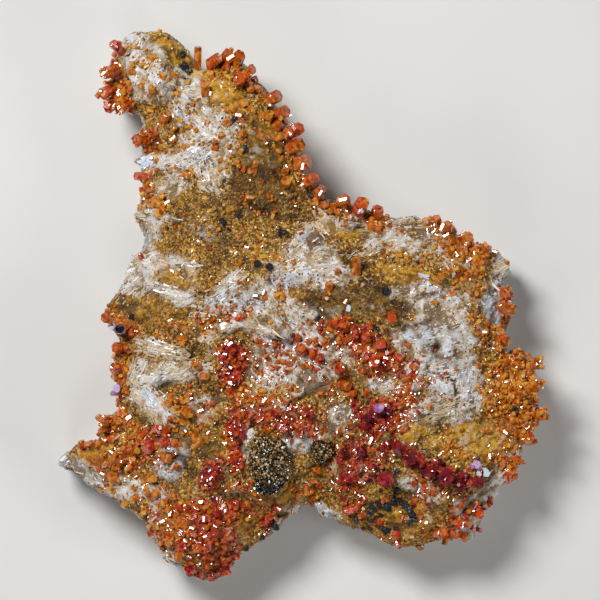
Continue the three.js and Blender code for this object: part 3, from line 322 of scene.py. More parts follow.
# Crystals seen one by one: right, down, width in pixels, length in millimetres, tone, and the
# lean from upright and its direction in degrees. One without a lean turns a face to the light
CRYSTALS = [
    (115, 54, 8, 2.2, 0.4, 60, 185), (115, 63, 9, 2.4, 0.45, 50, 170), (106, 95, 8, 2.2, 0.5),
    (121, 82, 6, 1.8, 0.6), (119, 92, 6, 1.8, 0.6), (108, 99, 7, 1.8, 0.5),
    (121, 101, 11, 2.2, 0.85, 25, 250), (159, 31, 6, 1.8, 0.9), (128, 48, 5, 1.2, 0.9, 20, 0),
    (154, 60, 7, 1.4, 0.85, 20, 90), (133, 72, 7, 1.4, 0.85, 25, 10),
    (163, 78, 8, 1.5, 0.85, 25, 70), (153, 91, 9, 1.6, 0.85, 20, 100),
    (178, 95, 6, 1.2, 0.85, 25, 0), (192, 105, 6, 1.2, 0.85, 20, 50),
    (188, 114, 5, 1.2, 0.85, 30, 80), (190, 128, 6, 1.4, 0.85, 30, 20),
    (197, 131, 6, 1.2, 0.85, 20, 200), (208, 124, 6, 1.4, 0.82, 35, 90),
    (175, 130, 5, 1.2, 0.85, 25, 40), (183, 132, 5, 1.2, 0.85, 25, 140),
    (185, 148, 6, 1.2, 0.85, 25, 300), (174, 140, 8, 1.2, 0.8), (171, 171, 6, 1.3, 0.85, 20, 50),
    (187, 176, 8, 1.4, 0.82, 30, -30), (155, 204, 10, 1.8, 0.8, 15, 50), (168, 203, 7, 1.2, 0.8),
    (143, 132, 8, 2, 0.5, 50, 150), (147, 187, 7, 1.8, 0.6, 50, 190),
    (219, 51, 7, 2.4, 0.6, 60, 95), (231, 59, 10, 2.2, 0.65), (226, 68, 10, 2.2, 0.58, 30, 260),
    (227, 63, 7, 2.4, 0.6), (257, 77, 7, 2.2, 0.6), (253, 81, 6, 2, 0.6),
    (248, 77, 8, 2.4, 0.5, 40, 80), (250, 89, 9, 2.2, 0.65, 30, 290),
    (258, 90, 9, 2.2, 0.68, 40, 340), (211, 76, 9, 1.8, 0.85, 25, 100),
    (222, 78, 6, 1.4, 0.8, 20, 50), (205, 92, 9, 2.4, 0.78, 45, 100), (211, 95, 5, 1.2, 0.8),
    (243, 105, 10, 2, 0.82, 30, 30), (233, 111, 8, 1.8, 0.85, 30, 120),
    (252, 112, 8, 1.8, 0.8, 30, 300), (239, 117, 8, 1.6, 0.7), (228, 124, 8, 1.6, 0.8, 30, 20),
    (222, 137, 7, 1.6, 0.78, 25, 60), (216, 149, 8, 1.6, 0.6, 25, 250),
    (243, 135, 8, 1.6, 0.7, 20, 0), (237, 164, 6, 1.2, 0.8, 25, 40),
    (256, 165, 7, 1.4, 0.8, 25, 70), (252, 172, 7, 1.4, 0.65, 25, 200), (271, 105, 7, 2, 0.6),
    (266, 117, 11, 2.2, 0.78, 30, 10), (285, 121, 9, 2.4, 0.62, 55, 10),
    (277, 127, 11, 2.4, 0.68, 40, 240), (294, 129, 9, 2.6, 0.5), (290, 135, 6, 2, 0.5),
    (303, 168, 8, 2.2, 0.4), (285, 172, 8, 1.8, 0.7, 30, 60), (287, 168, 5, 1.6, 0.7),
    (279, 152, 6, 1.2, 0.8, 20, 0), (321, 194, 7, 2, 0.7), (324, 206, 9, 1.8, 0.55, 25, 40),
    (343, 201, 10, 2.6, 0.6), (360, 211, 7, 2, 0.3), (389, 212, 6, 1.8, 0.6, 50, 40),
    (371, 227, 9, 1.8, 0.6, 25, 300), (378, 231, 7, 1.6, 0.55, 25, 100),
    (427, 223, 11, 2, 0.85, 40, 100), (442, 228, 10, 2.2, 0.6), (453, 231, 8, 2.2, 0.6, 45, 30),
    (463, 234, 6, 2.4, 0.5), (456, 255, 8, 1.8, 0.7), (446, 236, 8, 1.8, 0.65),
    (476, 249, 9, 2.2, 0.7, 50, 70), (495, 249, 7, 2, 0.75), (474, 253, 6, 1.6, 0.75),
    (506, 263, 6, 1.2, 0.85, 20, 0), (508, 300, 8, 2, 0.5, 60, 0),
    (506, 321, 9, 2.2, 0.65, 55, 340), (501, 325, 6, 1.6, 0.7), (512, 360, 7, 1.8, 0.6),
    (528, 358, 10, 2.6, 0.6, 55, 50), (534, 375, 8, 2.2, 0.65, 55, 350),
    (534, 398, 8, 2.2, 0.6, 55, 0), (536, 424, 9, 2.2, 0.6, 55, 330),
    (522, 452, 8, 2.2, 0.6, 55, 330), (505, 432, 7, 1.4, 0.75), (527, 428, 6, 1.4, 0.75),
    (504, 382, 6, 1.4, 0.75), (515, 372, 5, 1.4, 0.7), (529, 417, 5, 1.6, 0.6),
    (462, 474, 9, 2.2, 0.2, 35, 30), (397, 447, 13, 2.4, 0.12, 25, 120),
    (388, 443, 10, 2.2, 0.15, 30, 200), (464, 497, 6, 1.8, 0.4), (458, 493, 5, 1.8, 0.4),
    (476, 503, 8, 2.2, 0.45, 35, 60), (467, 523, 9, 2.2, 0.45, 35, 320),
    (450, 535, 10, 2.4, 0.55, 50, 250), (438, 533, 10, 2.2, 0.5, 20, 0), (439, 531, 5, 2.4, 0.5),
    (421, 548, 9, 2.2, 0.55, 50, 280), (420, 515, 6, 1.4, 0.5, 25, 60),
    (432, 489, 7, 1.6, 0.5, 30, 100), (424, 484, 6, 1.6, 0.5, 30, 50),
    (349, 510, 11, 2.4, 0.4, 55, 20), (357, 505, 8, 2.2, 0.4, 50, 60), (355, 491, 5, 1.6, 0.3),
    (364, 497, 6, 1.6, 0.4), (318, 470, 9, 1.8, 0.6, 30, 0), (299, 494, 7, 1.8, 0.55, 30, 60),
    (396, 535, 9, 2, 0.4, 35, 250), (397, 543, 7, 1.8, 0.35, 45, 280),
    (381, 520, 6, 1.6, 0.5, 30, 60), (361, 515, 7, 1.6, 0.45, 30, 200),
    (337, 272, 7, 1.6, 0.8, 25, 80), (329, 287, 10, 2, 0.68, 30, 90),
    (356, 271, 9, 2, 0.6, 25, 270), (437, 281, 7, 1.6, 0.6, 25, 60),
    (241, 263, 5, 1.4, 0.7, 30, 90), (293, 262, 5, 1.2, 0.8, 20, 0),
    (266, 298, 6, 1.4, 0.65, 25, 30), (281, 294, 6, 1.4, 0.8, 20, 0),
    (277, 296, 6, 1.2, 0.85, 20, 90), (283, 298, 6, 1.2, 0.85, 20, 200),
    (279, 290, 5, 1.2, 0.85, 30, 90), (245, 284, 4, 1, 0.8, 20, 0),
    (231, 318, 5, 1.2, 0.65, 25, 0), (240, 317, 8, 1.6, 0.45, 25, 50),
    (254, 330, 4, 1, 0.65, 20, 0), (285, 324, 4, 1.2, 0.6, 30, 90),
    (301, 327, 4, 1.2, 0.6, 30, 60), (311, 321, 5, 1.4, 0.6, 30, 60),
    (297, 337, 7, 1.6, 0.5, 25, 40), (312, 354, 10, 2, 0.48, 28, 300),
    (309, 341, 6, 1.6, 0.5, 30, 80), (335, 323, 10, 1.8, 0.42, 30, 0),
    (344, 325, 9, 1.8, 0.45, 30, 340), (355, 343, 9, 2, 0.35, 25, 250),
    (366, 338, 9, 2, 0.45, 30, 0), (379, 356, 5, 2, 0.3), (385, 358, 6, 2, 0.3),
    (379, 369, 8, 1.8, 0.3), (399, 358, 8, 1.8, 0.35, 30, 320), (362, 370, 7, 1.6, 0.5, 25, 0),
    (345, 384, 12, 2.2, 0.55, 30, 330), (352, 393, 8, 1.6, 0.6, 30, 0),
    (367, 391, 7, 1.6, 0.5, 30, 60), (322, 393, 6, 1.4, 0.55, 30, 0),
    (413, 367, 8, 1.6, 0.55, 25, 330), (407, 345, 5, 1.2, 0.6, 25, 0),
    (428, 406, 7, 1.4, 0.65, 20, 0), (365, 424, 9, 1.8, 0.12, 30, 240),
    (363, 413, 8, 1.8, 0.35, 30, 60), (391, 316, 10, 1.8, 0.45, 15, 270),
    (371, 431, 7, 1.6, 0.1, 30, 0), (372, 438, 5, 1.6, 0.2), (231, 344, 7, 1.8, 0.35),
    (218, 354, 5, 1.6, 0.3), (226, 354, 5, 1.6, 0.3), (245, 354, 5, 1.6, 0.3),
    (231, 367, 6, 1.6, 0.3), (231, 383, 6, 1.6, 0.25), (238, 372, 8, 1.8, 0.3, 30, 300),
    (256, 296, 6, 1.4, 0.7), (264, 293, 6, 1.2, 0.7), (345, 302, 6, 1.6, 0.7),
    (265, 400, 7, 1.6, 0.5), (202, 410, 7, 1.6, 0.6), (185, 411, 5, 1.4, 0.6),
    (192, 398, 5, 1.4, 0.6), (209, 432, 5, 1.4, 0.6), (227, 442, 6, 1.4, 0.6),
    (152, 437, 5, 1.6, 0.5), (153, 453, 6, 1.6, 0.5), (189, 410, 12, 2.2, 0.7, 22, 300),
    (178, 407, 7, 1.6, 0.72, 25, 90), (170, 402, 8, 1.8, 0.75, 30, 90),
    (190, 393, 7, 1.8, 0.6, 30, 60), (183, 422, 7, 1.4, 0.8, 25, 0),
    (197, 431, 7, 1.8, 0.6, 30, 90), (225, 433, 8, 1.6, 0.7, 25, 30),
    (198, 365, 8, 1.8, 0.55, 30, 130), (205, 376, 9, 1.6, 0.62, 25, 0),
    (182, 338, 7, 1.4, 0.72, 20, 0), (167, 457, 11, 2, 0.65, 25, 340),
    (178, 466, 7, 1.4, 0.5, 20, 0), (150, 446, 13, 2.4, 0.32, 25, 240),
    (168, 428, 9, 2, 0.5, 30, 70), (165, 441, 9, 2, 0.35, 30, 0),
    (175, 442, 8, 1.8, 0.55, 30, 30), (157, 430, 9, 2, 0.25, 30, 150),
    (113, 477, 12, 2, 0.75, 25, 300), (153, 478, 9, 1.6, 0.9, 25, 10),
    (156, 494, 10, 1.8, 0.72, 20, 60), (103, 474, 6, 1.6, 0.7), (137, 476, 5, 1.6, 0.7),
    (112, 452, 6, 1.6, 0.7), (118, 452, 5, 1.6, 0.7), (132, 461, 5, 1.6, 0.6),
    (102, 489, 8, 2, 0.75, 50, 230), (125, 504, 8, 2, 0.7, 50, 240), (127, 503, 5, 2.2, 0.7),
    (135, 498, 9, 1.8, 0.8, 30, 220), (82, 444, 8, 2, 0.6, 50, 110),
    (99, 444, 8, 2, 0.65, 50, 70), (104, 440, 7, 2.2, 0.6), (103, 417, 6, 2, 0.5),
    (120, 404, 9, 2.2, 0.6, 50, 170), (118, 377, 11, 2.2, 0.6, 50, 190),
    (119, 357, 9, 2, 0.5, 45, 170), (132, 333, 8, 1.8, 0.5, 35, 290), (137, 331, 5, 2, 0.5),
    (141, 256, 6, 2.4, 0.4, 60, 130), (141, 177, 9, 2.6, 0.45, 60, 175),
    (162, 541, 8, 1.8, 0.7, 40, 210), (172, 543, 6, 1.8, 0.6), (171, 513, 7, 1.8, 0.6),
    (163, 521, 6, 1.8, 0.6), (205, 518, 7, 1.8, 0.3), (206, 535, 6, 1.8, 0.3),
    (226, 509, 6, 1.6, 0.4), (179, 556, 10, 2, 0.6, 25, 260), (170, 508, 9, 1.8, 0.65, 25, 200),
    (196, 508, 9, 2, 0.35, 30, 60), (214, 531, 9, 2, 0.28, 30, 20),
    (222, 558, 9, 2.2, 0.3, 45, 330), (211, 578, 9, 2.2, 0.35, 55, 270),
    (200, 575, 9, 2.2, 0.4, 50, 250), (217, 572, 8, 2.2, 0.35, 45, 300), (203, 578, 6, 2.2, 0.4),
    (236, 556, 8, 2, 0.35, 50, 300), (233, 513, 9, 2, 0.35, 35, 60),
    (236, 503, 8, 1.8, 0.3, 35, 80), (246, 503, 9, 1.8, 0.5, 30, 0),
    (270, 517, 8, 1.8, 0.35, 30, 60), (270, 523, 6, 1.8, 0.4), (262, 523, 7, 1.6, 0.4, 30, 200),
    (211, 563, 6, 1.8, 0.35), (217, 560, 5, 1.8, 0.3), (220, 568, 6, 1.8, 0.35),
    (204, 569, 5, 1.8, 0.4), (197, 564, 6, 1.8, 0.35), (213, 574, 5, 1.8, 0.35),
    (224, 541, 6, 1.8, 0.4), (209, 548, 6, 1.8, 0.3), (200, 541, 5, 1.8, 0.35),
    (190, 556, 6, 1.8, 0.45), (228, 552, 5, 1.8, 0.35), (199, 553, 5, 1.8, 0.4),
    (216, 525, 5, 1.8, 0.35), (193, 527, 6, 1.8, 0.45), (186, 540, 6, 1.8, 0.5),
    (221, 534, 5, 1.8, 0.3), (206, 526, 5, 1.8, 0.35), (194, 517, 5, 1.8, 0.4),
    (399, 386, 3, 1, 0.5), (396, 391, 3, 1, 0.5), (403, 392, 4, 1, 0.5), (405, 398, 3, 1, 0.5),
    (407, 404, 4, 1, 0.5), (404, 410, 3, 1, 0.5), (409, 414, 4, 1, 0.5), (412, 420, 3, 1, 0.5),
    (402, 420, 3, 1, 0.5), (398, 426, 4, 1, 0.5), (411, 408, 3, 1, 0.5), (400, 414, 3, 1, 0.5),
]

# Pale crystals, lilac to bluish white, partly painted glints of the light on a face: right, down,
# reach along and across in pixels, height in millimetres, turn in degrees, tone from 0, purple,
# to 1, bluish white
PALE_AND_GLINT_CRYSTALS = [
    (475, 464, 9, 8, 1.6, 20, 0.4), (482, 471, 13, 8, 1.4, -25, 1),
    (378, 407, 10, 9, 1.6, 10, 0.1), (117, 390, 7, 9, 2, 0, 0.45), (271, 489, 6, 6, 0.8, 0, 0.9),
    (423, 276, 12, 3, 0.8, -30, 0.7), (342, 201, 7, 5, 1, 20, 0.55), (360, 211, 5, 5, 1, 0, 0.5),
    (115, 326, 4, 13, 1.2, 4, 0.62), (348, 308, 4, 7, 0.5, 10, 0.9),
]

# A hollow hexagonal crystal, dark within a pale wall, the dark being painted shade: right, down,
# width in pixels
HOLLOW_CRYSTAL = (122, 329, 11.5)
# A tuft of bluish-white tables: right, down, reach, number
PALE_TUFT = (147, 162, 9, 26)

# Druses: tone, and the small crystals grown on each square millimetre of their extent
DRUSES = {
    "bottom_spike": (0.38, 1.0), "crown": (0.6, 0.04), "dark_field": (0.15, 0.5),
    "dark_knot": (0.12, 0.12), "east_lobe": (0.68, 1.4), "east_rim": (0.6, 0.2),
    "head_edge": (0.45, 0.12), "left_spike": (0.62, 0.3), "lower_right_edge": (0.48, 0.15),
    "maroon_band": (0.14, 0.12), "neck_edge": (0.5, 0.06), "north_east_rim": (0.65, 0.6),
    "red_band": (0.35, 1.6), "red_column": (0.28, 1.2), "red_garden": (0.42, 0.8),
    "red_swath": (0.38, 0.7), "red_tongue": (0.2, 0.12), "saddle": (0.55, 0.12),
    "slope": (0.55, 0.06), "south_east_edge": (0.55, 0.12), "west_prisms": (0.6, 0.12),
    "west_rim_high": (0.58, 0.12), "west_rim_low": (0.6, 0.12),
}

# Single crystals and their tones
SINGLES = {
    "tall_prism_head": 0.68, "hexagonal_plate": 0.2, "prism_slope_face": 0.74,
    "plate_shoulder": 0.74, "prism_neck": 0.74, "prism_neck_rim": 0.45,
    "prism_crown_foot": 0.74, "stacked_prism": 0.7, "prism_brown_mound": 0.45,
    "prism_north_plateau": 0.74, "prism_feather": 0.74, "plate_west": 0.74,
    "prism_striated": 0.74, "oval_prism_notch": 0.74,
}

# The light that a face of each glinting crystal mirrors towards the camera
LIGHT_TOWARDS = Vector((-0.42, 0.5, 0.86)).normalized()
GLINT_AXIS = np.array((LIGHT_TOWARDS + Vector((0, 0, 1))).normalized())
GLINT_SPREAD = 0.035

# Finished pieces and materials that later pieces are laid on or share
made = {}


def settings():
    return bpy.context.scene.specimen


def photo_pixels(points):
    """Pixels of the photograph that points on the plate, in millimetres, fall on."""
    right = (points[:, 0] - PLATE_LOW[0]) / PIXEL + LEFT_PIXEL
    down = BOTTOM_PIXEL - (points[:, 1] - PLATE_LOW[1]) / PIXEL
    return np.stack([right, down], axis=1)


def plate_places(pixels):
    """Places on the plate, in millimetres, of one or more pixels of the photograph."""
    right, down = np.array(pixels, float).T[:2]
    return np.stack([
        PLATE_LOW[0] + (right - LEFT_PIXEL) * PIXEL,
        PLATE_LOW[1] + (BOTTOM_PIXEL - down) * PIXEL,
    ], axis=-1)


def patch_offsets(pixels, patch):
    """How far each pixel lies along and across a patch, its edge being 1."""
    right, down, along, across, turn = patch[:5]
    cosine, sine = math.cos(math.radians(turn)), math.sin(math.radians(turn))
    x, y = pixels[:, 0] - right, down - pixels[:, 1]
    return (x * cosine + y * sine) / along, (y * cosine - x * sine) / across


def patch_cover(pixels, patches):
    """How fully a set of patches covers each pixel, from 0 to 1."""
    edge_power, edge_fall = 1.6, 0.7
    bare = np.ones(len(pixels))
    for patch in patches:
        along, across = patch_offsets(pixels, patch)
        bare *= 1 - patch[5] * np.exp(-(along * along + across * across) ** edge_power * edge_fall)
    return 1 - bare


def stain_cover(pixels):
    """How fully yellow or brown stain covers each pixel."""
    return np.maximum(patch_cover(pixels, YELLOW), patch_cover(pixels, BROWN))


def line_distance(pixels, line):
    """Distance of each pixel from a line of points."""
    nearest = np.full(len(pixels), np.inf)
    corners = np.array(line, float)
    for start, end in zip(corners[:-1], corners[1:]):
        run = end - start
        share = np.clip((pixels - start) @ run / (run @ run), 0, 1)[:, None]
        nearest = np.minimum(nearest, np.linalg.norm(pixels - start - share * run, axis=1))
    return nearest


def inside_outline(pixels, outline):
    """Whether each pixel lies inside a closed line of points."""
    inside = np.zeros(len(pixels), bool)
    corners = np.array(outline, float)
    for a, b in zip(corners, np.roll(corners, -1, axis=0)):
        crosses = (a[1] > pixels[:, 1]) != (b[1] > pixels[:, 1])
        with np.errstate(divide="ignore", invalid="ignore"):
            edge = (b[0] - a[0]) * (pixels[:, 1] - a[1]) / (b[1] - a[1]) + a[0]
        inside ^= crosses & (pixels[:, 0] < edge)
    return inside


def noise_at(points, wave, seed=0.0, octaves=1):
    """Fractal noise between about -1 and 1 at points in millimetres."""
    roughness, scale_step = 0.9, 2.1
    shift = Vector((seed * 7.1, seed * 3.7, seed * 5.3))
    if octaves == 1:
        return np.array([noise.noise(Vector(p) / wave + shift) for p in points])
    return np.array([
        noise.fractal(Vector(p) / wave + shift, roughness, scale_step, octaves) for p in points
    ])


def crests(points, wave, seed, octaves=1):
    """Noise folded over, so that it rises to sharp crests of height 1."""
    return 1 - 2 * np.abs(noise_at(points, wave, seed, octaves))


def smooth_step(values, low, high):
    """A smooth rise from 0 to 1 as the values go from low to high."""
    share = np.clip((values - low) / (high - low), 0, 1)
    return share * share * (3 - 2 * share)


def unit(vectors):
    """The directions of vectors, each of length 1."""
    return vectors / np.linalg.norm(vectors, axis=1, keepdims=True)


def wandering_pixels(points):
    """Pixels under points on the plate, moved a little, for patches with ragged edges."""
    wave, wander = 2.6, 5.0
    warp = np.stack([noise_at(points, wave, seed, 2) for seed in (1, 2)], axis=1)
    return photo_pixels(points) + wander * warp


def vertex_array(mesh, key="co"):
    """The place of each vertex of a mesh, or by another key its normal."""
    flat = np.zeros(len(mesh.vertices) * 3, np.float32)
    mesh.vertices.foreach_get(key, flat)
    return flat.reshape(-1, 3).astype(float)


def set_vertices(mesh, points):
    """Moves a mesh's vertices to points in millimetres."""
    mesh.vertices.foreach_set("co", np.ascontiguousarray(points * MM, np.float32).ravel())
    mesh.update()


def add_attribute(mesh, name, values):
    """A number or a colour for each vertex."""
    kind, key = ("FLOAT", "value") if values.ndim == 1 else ("FLOAT_COLOR", "color")
    attribute = mesh.attributes.new(name, kind, "POINT")
    attribute.data.foreach_set(key, np.ascontiguousarray(values, np.float32).ravel())


def show(mesh, name, material, replaced=()):
    """Puts a finished mesh in the scene as a piece that rides on the specimen."""
    piece = bpy.data.objects.new(name, mesh)
    bpy.context.scene.collection.objects.link(piece)
    mesh.materials.clear()
    mesh.materials.append(material)
    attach(piece, "root")
    if replaced:
        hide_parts(*replaced)


def merged_copy(node):
    """A copy of a CAD node's mesh with its loose triangles joined."""
    shell = bmesh.new()
    shell.from_mesh(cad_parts[node].data)
    bmesh.ops.remove_doubles(shell, verts=shell.verts, dist=1e-7)
    mesh = bpy.data.meshes.new(node + "_merged")
    shell.to_mesh(mesh)
    shell.free()
    return mesh


def skin_over(node, name, step, smoothing):
    """An even skin over a CAD node, in steps of so many millimetres."""
    mesh = merged_copy(node)
    holder = bpy.data.objects.new(name + "_holder", mesh)
    bpy.context.scene.collection.objects.link(holder)
    skin = holder.modifiers.new("skin", "REMESH")
    skin.mode = "VOXEL"
    skin.voxel_size = step * MM
    softener = holder.modifiers.new("soft", "SMOOTH")
    softener.iterations = smoothing
    softener.factor = 0.5
    graph = bpy.context.evaluated_depsgraph_get()
    result = bpy.data.meshes.new_from_object(holder.evaluated_get(graph))
    result.name = name
    bpy.data.objects.remove(holder)
    bpy.data.meshes.remove(mesh)
    return result


# Templates of the small pieces, one unit wide and one long


def template_arrays(shape):
    """The vertices and the corner lists of a bmesh, which is then freed."""
    shape.verts.ensure_lookup_table()
    points = np.array([vertex.co[:] for vertex in shape.verts])
    faces = [[vertex.index for vertex in face.verts] for face in shape.faces]
    shape.free()
    return points, faces


def hexagonal_column():
    """A hexagonal prism as a bmesh, centred on the origin."""
    shape = bmesh.new()
    bmesh.ops.create_cone(
        shape, cap_ends=True, segments=6, radius1=0.5, radius2=0.5, depth=1.0,
    )
    return shape


def hexagonal_prism(bevel=0.0):
    """A prism that stands on the origin, the edges of its end cut off by the bevel."""
    shape = hexagonal_column()
    bmesh.ops.translate(shape, vec=(0, 0, 0.5), verts=shape.verts)
    if bevel:
        edges = [e for e in shape.edges if max(v.co.z for v in e.verts) > 0.9]
        bmesh.ops.bevel(
            shape, geom=edges, offset=bevel, affect="EDGES", segments=1, profile=0.5,
            material=-1,
        )
    return template_arrays(shape)


def hexagonal_cup():
    """A prism that stands on the origin and is hollowed from its end."""
    wall, hollow = 0.12, 0.8
    shape = hexagonal_column()
    top = max(shape.faces, key=lambda face: face.calc_center_median().z)
    bmesh.ops.inset_individual(shape, faces=[top], thickness=wall, depth=-hollow)
    bmesh.ops.translate(shape, vec=(0, 0, 0.5), verts=shape.verts)
    return template_arrays(shape)


def barite_blade():
    """A thin slanted table with a chisel edge at its end."""
    shape = bmesh.new()
    bmesh.ops.create_cube(shape, size=1.0)
    ends = [v for v in shape.verts if v.co.x > 0]
    bmesh.ops.scale(shape, vec=(1, 0.6, 0.35), verts=ends)
    bmesh.ops.translate(shape, vec=(0, 0.14, 0), verts=ends)
    return template_arrays(shape)


def round_grain():
    shape = bmesh.new()
    bmesh.ops.create_icosphere(shape, subdivisions=1, radius=0.5)
    return template_arrays(shape)


def shard():
    """An angular grain with eight faces."""
    shape = bmesh.new()
    bmesh.ops.create_uvsphere(shape, u_segments=4, v_segments=2, radius=0.5)
    return template_arrays(shape)


def turned_frames(axis, spin):
    """Three directions for each piece: across, aside and along its axis."""
    axis = unit(axis)
    helper = np.where(np.abs(axis[:, 2:]) < 0.9, [[0.0, 0.0, 1.0]], [[1.0, 0.0, 0.0]])
    across = unit(np.cross(helper, axis))
    aside = np.cross(axis, across)
    cosine, sine = np.cos(spin)[:, None], np.sin(spin)[:, None]
    return across * cosine + aside * sine, aside * cosine - across * sine, axis


def scattered_frames(random, axis, scatter):
    """Frames about the given axes, each of which leans away from its own by chance."""
    return turned_frames(axis + random.normal(0, scatter, axis.shape), spins(random, len(axis)))


def turn_to_light(random, frames, glinting):
    """Turns the glinting pieces so that a side face of each mirrors the light."""
    facing = unit(GLINT_AXIS + random.normal(0, GLINT_SPREAD, (len(glinting), 3)))
    along = random.normal(0, 1, (len(glinting), 3))
    along = unit(along - facing * (along * facing).sum(1, keepdims=True))
    for directions, turned in zip(frames, (facing, np.cross(along, facing), along)):
        directions[glinting] = turned[glinting]


def strew(name, template, places, frames, sizes, tones, material, fade=0.0):
    """Shows copies of a template as one piece, each with its place, turn, size and tone.

    The tone changes by the given fade from the foot of each copy to its tip."""
    points, faces = template
    count, each = len(places), len(points)
    across, aside, along = frames
    local = points[None, :, :] * sizes[:, None, :]
    placed = (
        local[:, :, :1] * across[:, None, :] + local[:, :, 1:2] * aside[:, None, :]
        + local[:, :, 2:] * along[:, None, :] + places[:, None, :]
    )
    totals = np.tile([len(face) for face in faces], count)
    corners = np.concatenate(faces)
    loops = (corners[None, :] + each * np.arange(count)[:, None]).ravel()
    starts = np.concatenate([[0], np.cumsum(totals)[:-1]])
    mesh = bpy.data.meshes.new(name)
    mesh.vertices.add(count * each)
    mesh.vertices.foreach_set("co", (placed * MM).astype(np.float32).ravel())
    mesh.loops.add(len(loops))
    mesh.loops.foreach_set("vertex_index", loops.astype(np.int32))
    mesh.polygons.add(len(totals))
    mesh.polygons.foreach_set("loop_start", starts.astype(np.int32))
    mesh.update(calc_edges=True)
    mesh.shade_flat()
    varied = tones[:, None] + fade * (points[:, 2] - points[:, 2].mean())
    add_attribute(mesh, "tone", np.clip(varied, 0, 1).ravel())
    show(mesh, name, material)


def crystal_sizes(width, length):
    """The size of each crystal across, aside and along its axis."""
    return np.stack([width, width, length], axis=1)


def spins(random, count):
    """A random turn of each piece about its own axis."""
    return random.uniform(0, math.tau, count)


def surface_tree(mesh):
    """A mesh to be searched in millimetres, with its extent on the plate."""
    points = vertex_array(mesh) / MM
    faces = [tuple(face.vertices) for face in mesh.polygons]
    tree = BVHTree.FromPolygons([Vector(p) for p in points], faces)
    return tree, points[:, :2].min(0), points[:, :2].max(0)


def on_surface(surfaces, spots):
    """The highest point and its normal under each spot, and whether there is one."""
    places = np.zeros((len(spots), 3))
    normals = np.zeros((len(spots), 3))
    hit = np.zeros(len(spots), bool)
    above, down = 60, Vector((0, 0, -1))
    for tree, low, high in surfaces:
        for i in np.nonzero(((spots > low) & (spots < high)).all(1))[0]:
            place, normal, _, _ = tree.ray_cast(Vector((*spots[i], above)), down)
            if place is not None and (not hit[i] or place.z > places[i, 2]):
                places[i], normals[i], hit[i] = place, normal, True
    return places, normals, hit


def landed(surfaces, spots, least_upward=-2.0):
    """The places and normals where spots meet the surfaces, and which of them do."""
    places, normals, hit = on_surface(surfaces, spots)
    hit &= normals[:, 2] > least_upward
    return places[hit], normals[hit], hit


def nearest_on_rock(points):
    """For each point the nearest place on the rock, its normal and the height above it."""
    tree = made["rock"][0]
    found = [tree.find_nearest(Vector(point)) for point in points]
    places = np.array([item[0][:] for item in found])
    normals = np.array([item[1][:] for item in found])
    away = ((points - places) * normals).sum(1)
    heights = np.array([item[3] for item in found]) * np.sign(away)
    return places, normals, heights


